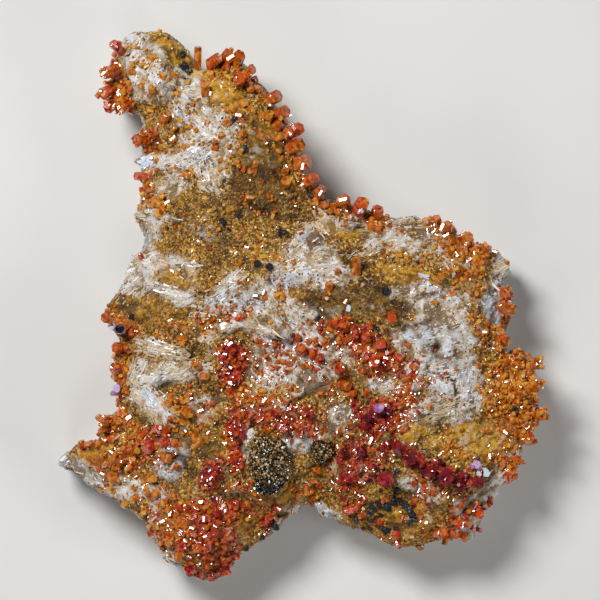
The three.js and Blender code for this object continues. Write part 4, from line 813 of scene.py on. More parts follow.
class Finish:
    """A material made of nodes, measured in millimetres of the object."""

    def __init__(self, name):
        self.material = bpy.data.materials.new(name)
        self.material.use_nodes = True
        self.tree = self.material.node_tree
        self.shader = self.tree.nodes["Principled BSDF"]
        place = self.node("TexCoord").outputs["Object"]
        self.millimetres = self.node("Mapping", Vector=place, Scale=(1 / MM,) * 3).outputs["Vector"]

    def feed(self, socket, value):
        """Links a socket to another node, or sets it to a number, a vector or a colour."""
        if isinstance(value, bpy.types.NodeSocket):
            self.tree.links.new(value, socket)
        elif socket.type == "RGBA":
            socket.default_value = (*value, 1)
        else:
            socket.default_value = value

    def node(self, kind, **inputs):
        """Adds a node and feeds its sockets, an underscore standing for a space."""
        node = self.tree.nodes.new("ShaderNode" + kind)
        for key, value in inputs.items():
            self.feed(node.inputs[key.replace("_", " ")], value)
        return node

    def attribute(self, name):
        """The outputs that give what is stored in a mesh under a name."""
        node = self.node("Attribute")
        node.attribute_name = name
        return node.outputs

    def tone(self):
        """The tone of each small piece, from 0 to 1."""
        return self.attribute("tone")["Fac"]

    def split(self, colour):
        """The red, green and blue of a colour."""
        return self.node("SeparateColor", Color=colour).outputs

    def mapped(self, place, turn=0.0, scale=(1, 1, 1)):
        """The place in millimetres after a move, a turn in degrees and a scale."""
        node = self.node("Mapping", Vector=self.millimetres, Location=place,
                         Rotation=(0, 0, math.radians(turn)), Scale=scale)
        return node.outputs["Vector"]

    def noise(self, wave, detail=3.0, roughness=0.6, shift=0.0, turn=0.0, stretch=1.0):
        """Noise from 0 to 1, drawn out along the direction of the turn by the stretch."""
        vector = self.mapped((shift, shift * 0.7, -shift), turn, (1 / stretch, 1, 1))
        return self.node("TexNoise", Vector=vector, Scale=1 / wave, Detail=detail,
                         Roughness=roughness).outputs["Fac"]

    def facets(self, width, shift=0.0):
        """Cells as broken grains: a colour for each and the height of its tilted face."""
        vector = self.mapped((shift, -shift, shift))
        cells = self.node("TexVoronoi", Vector=vector, Scale=1 / width).outputs
        offset = self.vectors("SUBTRACT", vector, cells["Position"])
        tilt = self.vectors("SUBTRACT", cells["Color"], (0.5, 0.5, 0.5))
        return self.split(cells["Color"]), self.vectors("DOT_PRODUCT", offset, tilt)

    def worked_out(self, kind, operation, operands):
        """The outputs of a node that works out an operation on its operands."""
        node = self.node(kind)
        node.operation = operation
        for socket, value in zip(node.inputs, operands):
            self.feed(socket, value)
        return node.outputs

    def vectors(self, operation, *operands):
        outputs = self.worked_out("VectorMath", operation, operands)
        return outputs["Value" if operation == "DOT_PRODUCT" else "Vector"]

    def maths(self, operation, *operands):
        return self.worked_out("Math", operation, operands)["Value"]

    def weighted(self, *terms):
        """The sum of values, each times its weight."""
        total, *others = [self.maths("MULTIPLY", value, weight) for value, weight in terms]
        for other in others:
            total = self.maths("ADD", total, other)
        return total

    def swayed(self, value, ruler, spread):
        """A value moved up and down by a noise."""
        sway = self.weighted((self.maths("SUBTRACT", ruler, 0.5), spread))
        return self.maths("ADD", value, sway)

    def blend(self, share, first, second):
        """First where the share is 0 and second where it is 1."""
        change = self.maths("SUBTRACT", second, first)
        return self.maths("ADD", first, self.maths("MULTIPLY", share, change))

    def between(self, value, low, high, start=0.0, end=1.0):
        """A smooth change from start to end as the value goes from low to high."""
        node = self.node("MapRange", Value=value, From_Min=low, From_Max=high, To_Min=start,
                         To_Max=end)
        node.interpolation_type = "SMOOTHSTEP"
        return node.outputs["Result"]

    def ramp(self, value, stops):
        """A colour for each value, from stops of a position and a colour."""
        node = self.node("ValToRGB", Fac=value)
        elements = node.color_ramp.elements
        while len(elements) < len(stops):
            elements.new(0.5)
        for element, (position, colour) in zip(elements, stops):
            element.position = position
            element.color = (*colour, 1)
        return node.outputs["Color"]

    def mix(self, share, first, second, blend="MIX"):
        """The first colour where the share is 0 and the second where it is 1."""
        node = self.node("Mix")
        node.data_type = "RGBA"
        node.blend_type = blend
        factor, colour_a, colour_b, colour_result = 0, 6, 7, 2
        for place, value in ((factor, share), (colour_a, first), (colour_b, second)):
            self.feed(node.inputs[place], value)
        return node.outputs[colour_result]

    def over(self, colour, cover, value, low, high, start=0.0, end=1.0):
        """A colour with another one laid over it as the value goes from low to high."""
        return self.mix(self.between(value, low, high, start, end), colour, cover)

    def bump(self, height, strength, distance):
        """Roughens the surface by a height, to a distance in millimetres."""
        node = self.node("Bump", Height=height, Strength=strength, Distance=distance * MM)
        self.feed(self.shader.inputs["Normal"], node.outputs["Normal"])

    def set(self, **values):
        """Feeds the shader's sockets, an underscore standing for a space."""
        for key, value in values.items():
            self.feed(self.shader.inputs[key.replace("_", " ")], value)


# Colours of the rock: stops of a position and a colour
OCHRE = [
    (0.3, (0.05, 0.017, 0.001)), (0.42, (0.18, 0.07, 0.004)), (0.52, (0.4, 0.18, 0.012)),
    (0.62, (0.68, 0.37, 0.045)), (0.74, (0.94, 0.7, 0.24)),
]
DARK_BROWN = [
    (0.3, (0.03, 0.011, 0.001)), (0.5, (0.17, 0.078, 0.006)), (0.68, (0.42, 0.23, 0.03)),
]
GOLD = [(0.3, (0.32, 0.12, 0.003)), (0.5, (0.62, 0.3, 0.01)), (0.7, (0.86, 0.55, 0.09))]
CREAM = [
    (0.3, (0.32, 0.19, 0.085)), (0.4, (0.53, 0.41, 0.26)), (0.5, (0.68, 0.59, 0.48)),
    (0.59, (0.86, 0.84, 0.84)),
]
SLATE = [(0.32, (0.26, 0.26, 0.25)), (0.66, (0.64, 0.67, 0.72))]
RUST = [(0.28, (0.2, 0.036, 0.002)), (0.5, (0.48, 0.125, 0.007)), (0.7, (0.74, 0.32, 0.045))]
CRIMSON = [(0.28, (0.07, 0.004, 0.002)), (0.48, (0.32, 0.02, 0.006)), (0.7, (0.62, 0.1, 0.03))]
COLD_TINT = (0.8, 0.87, 1.0)
# Brown for spots on white barite, partly a stain and partly painted shade of small holes
PIT_SHADE_BROWN = (0.16, 0.085, 0.025)
# Colours of the painted shade in hollows and the painted light on crests, for ochre and for white
PAINTED_SHADE_OCHRE, PAINTED_SHADE_WHITE = (0.07, 0.03, 0.008), (0.22, 0.13, 0.06)
PAINTED_LIGHT_OCHRE, PAINTED_LIGHT_WHITE = (0.86, 0.78, 0.64), (0.86, 0.89, 0.96)


def cream_colour(finish, speck, relief):
    """White barite with cold patches, painted light on raised parts and painted shade in hollows,
    and brown spots that are partly stain and partly painted shade of small holes.
    """
    # Painted light and shade: the cream is lighter where the relief rises and darker where it falls
    brightness = finish.blend(0.5, speck, finish.between(relief, 0.25, 0.8, 0.35, 0.62))
    cream = finish.ramp(brightness, CREAM)
    cold = finish.mix(1.0, cream, COLD_TINT, "MULTIPLY")
    cream = finish.over(cream, cold, finish.noise(3.6, detail=3, shift=51), 0.5, 0.64, end=0.7)
    # Brown spots, partly a stain and partly painted shade of small holes that the surface lacks
    pit_shade = finish.between(finish.noise(0.8, detail=2, roughness=0.7, shift=57), 0.41, 0.34)
    pitted = finish.between(finish.noise(2.6, detail=2, shift=59), 0.47, 0.58)
    pit_shade = finish.maths("MULTIPLY", finish.maths("MULTIPLY", pit_shade, pitted), 0.7)
    return finish.mix(pit_shade, cream, PIT_SHADE_BROWN)


def rock_finish():
    """Ochre granular rock with white, yellow, brown, grey, orange and red patches."""
    finish = Finish("stained_barite_rock")
    first = finish.attribute("patches")
    second = finish.attribute("stains_and_relief_shade")
    white, yellow, brown = finish.split(first["Color"])[:3]
    red = first["Alpha"]
    grey, orange, relief = finish.split(second["Color"])[:3]
    smooth = second["Alpha"]

    small, small_height = finish.facets(0.42, 5)
    large, large_height = finish.facets(0.95, 9)
    grainy = finish.weighted((small[0], 0.3), (finish.noise(0.6, detail=4, roughness=0.75), 0.7))
    even = finish.noise(1.6, detail=5, roughness=0.62, shift=3)
    fine = finish.blend(finish.between(smooth, 0.2, 0.8, 0.0, 0.8), grainy, even)
    mottle = finish.noise(1.3, detail=4, roughness=0.62, shift=13)
    speck = finish.weighted((large[0], 0.16), (mottle, 0.84))
    cloud = finish.noise(3.2, detail=4, roughness=0.7, shift=31)
    clots = finish.noise(5.0, detail=3, roughness=0.65, shift=43)
    brown = finish.maths("ADD", brown, finish.between(clots, 0.5, 0.68, 0.0, 0.5))

    # For each patch its weight, the noise that breaks up its edge, the edge's softness, how
    # far the noise moves the weight, and its colour
    colour = finish.ramp(fine, OCHRE)
    for weight, ruler, softness, spread, cover in (
        (brown, cloud, 0.12, 0.8, finish.ramp(fine, DARK_BROWN)),
        (yellow, speck, 0.12, 0.8, finish.ramp(fine, GOLD)),
        (white, cloud, 0.2, 1.1, cream_colour(finish, speck, relief)),
        (grey, cloud, 0.3, 0.8, finish.ramp(cloud, SLATE)),
        (orange, speck, 0.14, 1.3, finish.ramp(fine, RUST)),
        (red, speck, 0.12, 1.5, finish.ramp(fine, CRIMSON)),
    ):
        swayed = finish.swayed(weight, ruler, spread)
        colour = finish.over(colour, cover, swayed, 0.5 - softness, 0.5 + softness)
    # Painted shade in the hollows of the relief and painted light on its crests
    whiteness = finish.between(white, 0.3, 0.8)
    hollow_shade = finish.mix(whiteness, PAINTED_SHADE_OCHRE, PAINTED_SHADE_WHITE)
    colour = finish.over(colour, hollow_shade, relief, 0.46, 0.24, end=0.8)
    crest_light = finish.mix(whiteness, PAINTED_LIGHT_OCHRE, PAINTED_LIGHT_WHITE)
    colour = finish.over(colour, crest_light, relief, 0.62, 0.85, end=0.4)
    finish.set(Base_Color=colour, IOR=1.5, Roughness=finish.between(small[1], 0.6, 0.9, 0.6, 0.2))

    coarse = finish.between(finish.maths("MAXIMUM", smooth, white), 0.2, 0.8, 0.9, 0.3)
    height = finish.weighted((small_height, coarse), (large_height, 0.45), (fine, 0.12))
    finish.bump(height, 1.0, 1.0)
    return finish.material


def blade_finish():
    """Pearly barite, cream to white, with ochre in places."""
    finish = Finish("pearly_barite")
    stain = finish.noise(2.4, detail=4, roughness=0.7, shift=17)
    fine = finish.noise(0.35, detail=2, shift=3)
    pearl = finish.ramp(finish.tone(), [
        (0.0, (0.24, 0.11, 0.02)), (0.2, (0.46, 0.29, 0.1)), (0.42, (0.64, 0.5, 0.31)),
        (0.62, (0.78, 0.7, 0.58)), (0.82, (0.92, 0.9, 0.9)), (1.0, (0.58, 0.66, 0.8)),
    ])
    # Ochre stain, and the colour of painted shade in fine random spots among the blades
    ochre, dark_speckle = (0.4, 0.22, 0.045), (0.2, 0.15, 0.1)
    colour = finish.over(pearl, ochre, stain, 0.5, 0.66, end=0.6)
    colour = finish.over(colour, dark_speckle, fine, 0.35, 0.65, 0.12, 0.0)
    finish.set(Base_Color=colour, Roughness=0.3, IOR=1.62)
    finish.bump(finish.noise(0.25, detail=2, shift=9, turn=20, stretch=4), 0.3, 0.08)
    return finish.material


def grain_finish():
    """Ochre grains, from dark brown to straw, a few of them glittering."""
    finish = Finish("ochre_grain")
    tone = finish.tone()
    fine = finish.noise(0.3, detail=2)
    body = finish.ramp(tone, [
        (0.0, (0.04, 0.014, 0.001)), (0.25, (0.17, 0.064, 0.004)), (0.5, (0.4, 0.18, 0.014)),
        (0.75, (0.7, 0.4, 0.055)), (1.0, (0.97, 0.78, 0.36)),
    ])
    # Darker in fine random spots
    dark_speckle = (0.12, 0.05, 0.01)
    finish.set(Base_Color=finish.over(body, dark_speckle, fine, 0.35, 0.65, 0.3, 0.0), IOR=1.6,
               Roughness=finish.between(tone, 0.5, 1.0, 0.55, 0.2))
    finish.bump(fine, 0.3, 0.1)
    return finish.material


def vanadinite_finish():
    """Resinous crystals: maroon, blood red, orange red, orange and brown-gold by tone, with painted
    shade and a painted glow on random facets.
    """
    finish = Finish("vanadinite_crystal")
    cloud = finish.noise(0.8, detail=2, shift=21)
    grown = finish.noise(0.22, detail=1, shift=7)
    cell, tilt = finish.facets(0.7, 4)
    tone = finish.swayed(finish.tone(), cloud, 0.3)
    body = finish.ramp(tone, [
        (0.0, (0.09, 0.009, 0.024)), (0.16, (0.22, 0.011, 0.018)), (0.32, (0.5, 0.026, 0.012)),
        (0.45, (0.6, 0.072, 0.008)), (0.6, (0.52, 0.1, 0.005)), (0.78, (0.62, 0.17, 0.007)),
        (1.0, (0.76, 0.33, 0.028)),
    ])
    # Painted shade darkens some random facets, and painted light, a glow from within, brightens
    # others
    shadow_tint = (0.35, 0.24, 0.3)
    shade = finish.mix(1.0, body, shadow_tint, "MULTIPLY")
    lit = finish.ramp(tone, [
        (0.1, (0.5, 0.08, 0.14)), (0.35, (1.0, 0.36, 0.3)), (0.6, (1.0, 0.5, 0.14)),
        (1.0, (1.0, 0.7, 0.2)),
    ])
    glow = finish.over(body, lit, tone, 0.1, 0.4, 0.15, 0.36)
    colour = finish.over(body, shade, cell[0], 0.44, 0.3, end=0.65)
    colour = finish.over(colour, glow, cell[1], 0.6, 0.76, end=0.75)
    finish.set(Base_Color=colour, Roughness=finish.between(grown, 0.3, 0.7, 0.05, 0.16), IOR=1.8)
    finish.bump(finish.blend(0.6, grown, tilt), 0.2, 0.2)
    return finish.material


def pale_and_glint_finish():
    """Bright crystal faces, purple to lilac to bluish white, partly pale crystals and partly
    painted glints of the light.
    """
    finish = Finish("pale_crystal_and_painted_glint")
    grown = finish.noise(0.4, detail=2, shift=5)
    colour = finish.ramp(finish.swayed(finish.tone(), grown, 0.5), [
        (0.0, (0.3, 0.08, 0.22)), (0.3, (0.52, 0.3, 0.55)), (0.6, (0.72, 0.6, 0.8)),
        (1.0, (0.72, 0.84, 0.92)),
    ])
    finish.set(Base_Color=colour, Roughness=0.15, IOR=1.8)
    finish.bump(grown, 0.3, 0.1)
    return finish.material


def dark_finish():
    """Fine crystals of a dark cushion, from black to straw by tone."""
    finish = Finish("dark_crystal_cushion")
    body = finish.ramp(finish.tone(), [
        (0.0, (0.004, 0.005, 0.008)), (0.35, (0.018, 0.012, 0.007)), (0.6, (0.12, 0.06, 0.014)),
        (0.85, (0.46, 0.27, 0.07)), (1.0, (0.85, 0.7, 0.4)),
    ])
    fine = finish.noise(0.3, detail=2)
    # Darker in fine random spots
    dark_speckle = (0.02, 0.016, 0.012)
    colour = finish.over(body, dark_speckle, fine, 0.4, 0.7, end=0.4)
    finish.set(Base_Color=colour, Roughness=0.22, IOR=1.7)
    finish.bump(fine, 0.3, 0.08)
    return finish.material


def uneven_dark(name, darkest, lightest):
    """A finish whose colour and surface vary with a noise, and that noise."""
    finish = Finish(name)
    fine = finish.noise(0.4, detail=3)
    finish.set(Base_Color=finish.ramp(fine, [(0.35, darkest), (0.7, lightest)]))
    finish.bump(fine, 0.4, 0.12)
    return finish, fine


def black_finish():
    """Black oxide with a dull shine."""
    finish, fine = uneven_dark("black_oxide", (0.006, 0.008, 0.012), (0.022, 0.03, 0.046))
    finish.set(Roughness=finish.between(fine, 0.3, 0.7, 0.3, 0.5))
    return finish.material


def hollow_shade_finish():
    """Painted shade: the dull dark put inside a hollow, with little shine."""
    finish, _ = uneven_dark("painted_hollow_shade", (0.004, 0.005, 0.008), (0.014, 0.016, 0.024))
    finish.set(Roughness=0.8, Specular_IOR_Level=0.1)
    return finish.material


def floor_finish():
    finish = Finish("pale_floor")
    cloud = finish.noise(60.0, detail=2)
    colour = finish.ramp(cloud, [(0.3, (0.78, 0.77, 0.75)), (0.7, (0.82, 0.81, 0.79))])
    finish.set(Base_Color=colour, Roughness=0.8)
    return finish.material


class SpecimenSettings(bpy.types.PropertyGroup):
    rock_step: FloatProperty(
        name="Rock step", description="Distance between the points of the rock's skin",
        default=0.5 * MM, min=0.3 * MM, max=2 * MM, unit="LENGTH", precision=5,
    )
    rock_relief: FloatProperty(
        name="Rock relief", description="Height of the small lumps on the rock",
        default=0.48 * MM, min=0, max=2 * MM, unit="LENGTH", precision=5,
    )
    blade_width: FloatProperty(
        name="Blade width", description="Width of the barite blades",
        default=0.32 * MM, min=0.1 * MM, max=2 * MM, unit="LENGTH", precision=5,
    )
    blade_share: FloatProperty(
        name="Blades", description="Share of the barite blades that is made",
        default=1.0, min=0.1, max=2.0, subtype="FACTOR",
    )
    crystal_share: FloatProperty(
        name="Small crystals", description="Share of the small vanadinite crystals made",
        default=1.0, min=0.1, max=2.0, subtype="FACTOR",
    )
    grain_count: IntProperty(
        name="Ochre grains", description="Number of grains strewn over the ochre",
        default=22000, min=0, max=24000,
    )
    floor_size: FloatProperty(
        name="Floor size", description="Length of the floor's side",
        default=3.0, min=0.5, max=10, unit="LENGTH",
    )


def colour_rock(mesh, points, pixels, normals, relief, redness=0.0):
    """Writes the weights of the colour patches on a skin of the plate."""
    # The plate's sides have white beds of their own, with brown between them
    side = 1 - smooth_step(normals[:, 2], -0.1, 0.45)
    flattened = [0.5, 0.5, 1.6]
    bedding = noise_at(points * flattened, 2.6, seed=8, octaves=3)
    wall_white = side * smooth_step(bedding, -0.25, 0.2)
    white = np.clip(patch_cover(pixels, WHITE) * (1 - 0.6 * side) + 0.8 * wall_white, 0, 1)
    yellow = patch_cover(pixels, YELLOW) * (1 - 0.5 * side)
    brown = np.clip(patch_cover(pixels, BROWN) + 0.25 * side, 0, 1)
    red = patch_cover(pixels, RED) * smooth_step(points[:, 2], 4, 9)
    red = np.clip(red + redness, 0, 1)
    grey = np.clip(patch_cover(pixels, GREY) + 0.45 * wall_white, 0, 1)
    orange = patch_cover(pixels, ORANGE) * smooth_step(points[:, 2], 2, 8)
    # The relief is kept to paint light on crests and shade in hollows
    relief = np.clip(0.5 + 0.4 * relief, 0, 1)
    smooth = patch_cover(pixels, SMOOTH)
    add_attribute(mesh, "patches", np.stack([white, yellow, brown, red], axis=1))
    add_attribute(mesh, "stains_and_relief_shade", np.stack([grey, orange, relief, smooth], axis=1))


def blade_fibres(points, pixels):
    """Fine crests on the rock that run along the sheaves of blades."""
    wave_along, wave_across, upright, reach = 3.4, 0.62, 0.2, 3.0
    fibres = np.zeros(len(points))
    for i, sheaf in enumerate(SHEAVES):
        along, across = patch_offsets(pixels, sheaf)
        near = np.nonzero(along * along + across * across < reach)[0]
        turn = math.radians(sheaf[4])
        x, y, z = points[near].T
        run = (x * math.cos(turn) + y * math.sin(turn)) / wave_along
        aside = (y * math.cos(turn) - x * math.sin(turn)) / wave_across
        weight = np.exp(-(along[near] ** 2 + across[near] ** 2))
        stretched = np.stack([run, aside, z * upright + i], axis=1)
        fibres[near] += weight * crests(stretched, 1.0, seed=6)
    return fibres


def rock_relief(points, pixels):
    """How far the rock's small forms rise at each point, as a share of the rock's relief."""
    white = patch_cover(pixels, WHITE)
    lumps = noise_at(points, 3.0, seed=3) * 0.55
    grit = noise_at(points, 1.25, seed=4, octaves=3) * (0.55 - 0.3 * white)
    crack_width, crack_depth = 0.16, 3.0
    beside_crack = np.abs(noise_at(points, 4.2, seed=5, octaves=2))
    cracks = -np.maximum(0, crack_width - beside_crack) * crack_depth
    billows = (np.abs(noise_at(points, 3.2, seed=16))
               + 0.5 * np.abs(noise_at(points, 1.5, seed=17)))
    drawn_out = [0.4, 1.0, 1.0]
    strata = crests(points * drawn_out, 1.7, seed=12, octaves=2)
    folds = (crests(points, 4.6, seed=14, octaves=2)
             + 0.6 * crests(points, 2.3, seed=15, octaves=2))
    relief = (lumps + grit + cracks + blade_fibres(points, pixels) * 0.35
              + 2.2 * (billows - 0.34) * white + 0.5 * (strata - 0.4) * (1 - white)
              + (folds - 0.8) * (0.2 + white) + 0.6 * noise_at(points, 6.0, seed=13))
    crevice_depth, crevice_width = 2.4, 2.0
    for line in CREVICES:
        across = line_distance(pixels, line) / crevice_width
        relief -= crevice_depth * np.exp(-across ** 2)
    return relief


class MakeRock(bpy.types.Operator):
    """Gives the barite plate its rough skin and its patches of colour"""
    bl_idname = "specimen.make_rock"
    bl_label = "Make the rock"

    def execute(self, context):
        chosen = settings()
        mesh = skin_over("barite_matrix", "barite_rock", chosen.rock_step / MM, 4)
        points = vertex_array(mesh) / MM
        normals = vertex_array(mesh, "normal")
        pixels = wandering_pixels(points)
        relief = rock_relief(points, pixels)

        # The upper face is raised a little, and the foot and the cut back stay as they are
        foot, raised, headroom = 0.3, 0.22, 0.3
        up = smooth_step(normals[:, 2], 0.15, 0.6)
        free = smooth_step(points[:, 2], 0.4, 3.0)
        rise = raised * up + relief * chosen.rock_relief / MM * (0.75 + 0.5 * (1 - up))
        moved = points + normals * (rise * free)[:, None]
        moved[:, 2] = np.where(points[:, 2] < foot, points[:, 2],
                               np.clip(moved[:, 2], foot, PLATE_HIGH[2] + headroom))
        set_vertices(mesh, moved)
        mesh.shade_smooth()

        colour_rock(mesh, points, pixels, normals, relief)
        made["rock_finish"] = rock_finish()
        show(mesh, "barite_rock", made["rock_finish"], ["barite_matrix"])
        made["rock"] = surface_tree(mesh)
        return {"FINISHED"}


def make_crust(node, seed, tone):
    """Makes a druse's foot a crust of rock, cut off a little above the plate."""
    step, smoothing, middle_thickness, roughness = 0.42, 2, 0.32, 0.3
    mesh = skin_over(node, node + "_crust", step, smoothing)
    points = vertex_array(mesh) / MM
    places, normals, heights = nearest_on_rock(points)
    grit = noise_at(points, 0.9, seed=20 + seed, octaves=2)
    thickness = middle_thickness + roughness * grit
    high = heights > thickness
    offset = (points - places) / np.maximum(np.abs(heights), 1e-6)[:, None]
    points[high] = (places + offset * thickness[:, None])[high]
    set_vertices(mesh, points)
    redness = 0.3 - 0.35 * tone
    # The crust's grit serves as its relief, painting light and shade into its colour
    colour_rock(mesh, points, wandering_pixels(points), normals, grit, redness)
    show(mesh, node + "_crust", made["rock_finish"], [node])
    return surface_tree(mesh)


def make_prisms(node, seed, tone):
    """Shows a druse's own crystals, rooted in the rock."""
    root_height, root_depth, tone_change, darkest = 1.7, 0.6, 0.3, 0.04
    mesh = merged_copy(node)
    points = vertex_array(mesh) / MM
    places, normals, heights = nearest_on_rock(points)
    rooted = heights < root_height
    points[rooted] = (places - normals * root_depth)[rooted]
    set_vertices(mesh, points)
    mesh.shade_flat()
    varied = tone + tone_change * noise_at(points, 4.0, seed=40 + seed)
    add_attribute(mesh, "tone", np.clip(varied, darkest, 1))
    show(mesh, node + "_crystals", made["vanadinite"])
    return surface_tree(mesh)


def make_growths(random, node, surface, density, tone):
    """Grows small crystals on a druse, some of them turned to the light."""
    fewest, sunk, darkest = 24, 0.55, 0.02
    least_width, width_range, small_bias = 0.35, 0.75, 1.6
    surface_pull, scatter, tone_scatter = 0.7, 0.9, 0.12
    glint_share, glint_width, glint_rise = (0.26 if tone < 0.5 else 0.15), 0.48, 0.4
    _, low, high = surface
    number = fewest + int(np.prod(high - low) * density)
    places, normals, _ = landed([surface], random.uniform(low, high, (number, 2)))
    count = len(places)
    across = least_width + width_range * random.uniform(0, 1, count) ** small_bias
    along = across * random.uniform(0.9, 2.0, count)
    _, outward, _ = nearest_on_rock(places)
    frames = scattered_frames(random, normals * surface_pull + outward, scatter)
    glinting = random.uniform(0, 1, count) < glint_share
    across[glinting] = np.minimum(across[glinting], glint_width)
    along[glinting] = across[glinting]
    turn_to_light(random, frames, glinting)
    places = places - frames[2] * (along * sunk)[:, None]
    places[glinting, 2] += glint_rise * across[glinting]
    tones = np.clip(tone + random.normal(0, tone_scatter, count), darkest, 1)
    strew(node + "_growths", hexagonal_prism(), places, frames, crystal_sizes(across, along),
          tones, made["vanadinite"], fade=0.2)


class MakeDruses(bpy.types.Operator):
    """Makes the crusts of the druses and the larger crystals that stand in them"""
    bl_idname = "specimen.make_druses"
    bl_label = "Make the druses"

    def execute(self, context):
        random = np.random.default_rng(53)
        made["vanadinite"] = vanadinite_finish()
        made["crusts"], made["prisms"] = [], []
        for seed, (name, (tone, density)) in enumerate(sorted(DRUSES.items())):
            node = "druse_" + name
            made["crusts"].append(make_crust(node, seed, tone))
            made["prisms"].append(make_prisms(node, seed, tone))
            make_growths(random, node, made["prisms"][-1], density, tone)
        return {"FINISHED"}


def thicket_spots(random, outline, number, tone):
    """Clumped spots within an outline, fewer of them where the stain lies smooth."""
    tries, over_number, scatter = 24, 1.7, 2.2
    corners = np.array(outline, float)
    spots = random.uniform(corners.min(0), corners.max(0), (number * tries, 2))
    spots = spots[inside_outline(spots, outline)]
    flat = np.column_stack([spots, np.zeros(len(spots))])
    clump = noise_at(flat, 9.0, seed=9, octaves=2)
    bare = 0.7 * patch_cover(spots, SMOOTH) if tone[0] > 0.35 else 0.0
    kept = random.uniform(-0.4, 0.5, len(spots)) < clump - bare
    spots = spots[kept][: int(number * settings().crystal_share * over_number)]
    return spots + random.normal(0, scatter, spots.shape)


def make_thicket(random, surfaces, name, outline, number, width, tone):
    """Strews small crystals over one thicket, some of them turned to the light."""
    glint_share, glint_width = (0.25 if tone[0] < 0.5 else 0.14), 0.46
    widening, small_bias, slimming = 0.8, 2.4, 0.85
    scatter, least_upward, tone_scatter = 1.1, 0.05, 0.09
    flat = plate_places(thicket_spots(random, outline, number, tone))
    places, normals, hit = on_surface(surfaces, flat)
    beyond = np.nonzero(~hit)[0]
    places[beyond], normals[beyond], hit[beyond] = on_surface(made["prisms"], flat[beyond])
    places, normals = places[hit], normals[hit]
    count = len(places)
    least, most = widening * width[0], width[1]
    pixels_across = least + (most - least) * random.uniform(0, 1, count) ** small_bias
    across = pixels_across * PIXEL * slimming
    along = across * random.uniform(0.8, 2.1, count)
    axis = normals + random.normal(0, scatter, (count, 3))
    axis[:, 2] = np.maximum(axis[:, 2], least_upward)
    frames = turned_frames(axis, spins(random, count))
    glinting = random.uniform(0, 1, count) < glint_share
    across[glinting] = np.minimum(across[glinting] * 0.7, glint_width)
    along[glinting] = across[glinting] * 1.1
    turn_to_light(random, frames, glinting)
    sunk, lifted = (along * 0.45)[:, None], (across * 0.15)[:, None]
    places = places - frames[2] * sunk + normals * lifted
    tones = random.uniform(*tone, count) + random.normal(0, tone_scatter, count)
    tones = np.clip(tones, 0, 1)
    strew("crystals_" + name, hexagonal_prism(), places, frames, crystal_sizes(across, along),
          tones, made["vanadinite"], fade=0.16)


class MakeSmallCrystals(bpy.types.Operator):
    """Strews small vanadinite crystals over the thickets of the photograph"""
    bl_idname = "specimen.make_small_crystals"
    bl_label = "Make the small crystals"

    def execute(self, context):
        random = np.random.default_rng(5)
        surfaces = [made["rock"], *made["crusts"]]
        for thicket in THICKETS:
            make_thicket(random, surfaces, *thicket)
        return {"FINISHED"}


def finish_single(node, tone):
    """Shows a CAD node's own crystal with small bevels on its edges."""
    bevel = 0.09 * MM
    mesh = merged_copy(node)
    shape = bmesh.new()
    shape.from_mesh(mesh)
    bmesh.ops.dissolve_limit(shape, angle_limit=math.radians(1), verts=shape.verts,
                             edges=shape.edges)
    bmesh.ops.bevel(shape, geom=shape.edges[:], offset=bevel, affect="EDGES",
                    segments=1, profile=0.5, material=-1, clamp_overlap=True)
    shape.to_mesh(mesh)
    shape.free()
    add_attribute(mesh, "tone", np.full(len(mesh.vertices), tone))
    show(mesh, node + "_crystal", made["vanadinite"], [node])


class MakeLargeCrystals(bpy.types.Operator):
    """Places the larger vanadinite crystals one by one and finishes the single ones"""
    bl_idname = "specimen.make_large_crystals"
    bl_label = "Make the large crystals"

    def execute(self, context):
        random = np.random.default_rng(11)
        mirrors = np.array([len(row) == 5 for row in CRYSTALS])
        rows = np.array([(*row, 0, 0)[:7] for row in CRYSTALS], float)
        flat = plate_places(rows)
        ground, _, on_ground = on_surface([made["rock"], *made["crusts"]], flat)
        prisms, _, on_prism = on_surface(made["prisms"], flat)
        step_up = 1.0
        higher = on_prism & (~on_ground | (prisms[:, 2] > ground[:, 2] + step_up))
        places = np.where(higher[:, None], prisms, ground)

        # The leans that the list gives are widened, up to a limit in radians
        widening, least_lean, most_lean = 1.5, 0.15, 1.35
        lean, direction = np.radians(rows[:, 5]), np.radians(rows[:, 6])
        lean = np.where(mirrors, 0, np.minimum(lean * widening + least_lean, most_lean))
        axis = np.stack([np.sin(lean) * np.cos(direction), np.sin(lean) * np.sin(direction),
                         np.cos(lean)], axis=1)
        axis[mirrors] = GLINT_AXIS + random.normal(0, 0.045, (mirrors.sum(), 3))

        # Crystals past the plate's edge stand on the side of the rock nearest to them
        edge_height, edge_rise = 9.0, [0, 0, 0.35]
        off = np.nonzero(~on_ground & ~higher)[0]
        beside = np.column_stack([flat[off], np.full(len(off), edge_height)])
        edge, outward, _ = nearest_on_rock(beside)
        places[off] = edge
        axis[off] = np.where(mirrors[off, None], axis[off], outward + edge_rise)

        # A glinting crystal lies down and shows only one of its sides
        slimming, shortening, lean_lift = 0.92, 0.8, 0.3
        glint_length, glint_slimming, glint_lift = 0.95, 0.9, 0.2
        frames = turned_frames(axis, spins(random, len(rows)))
        turn_to_light(random, frames, mirrors)
        width = rows[:, 2] * PIXEL * slimming
        length = rows[:, 3] * np.where(lean > 1, shortening, 1)
        length = np.where(mirrors, width * glint_length, length)
        width = np.where(mirrors, width * glint_slimming, width)
        reach = np.where(mirrors, 0.5 * length, length - 0.5 * width)
        places -= frames[2] * reach[:, None]
        places[:, 2] += lean_lift * width * np.sin(lean) + glint_lift * width * mirrors
        strew("large_crystals", hexagonal_prism(0.07), places, frames,
              crystal_sizes(width, length), rows[:, 4], made["vanadinite"],
              fade=0.2)
        for node, tone in SINGLES.items():
            finish_single(node, tone)
        return {"FINISHED"}


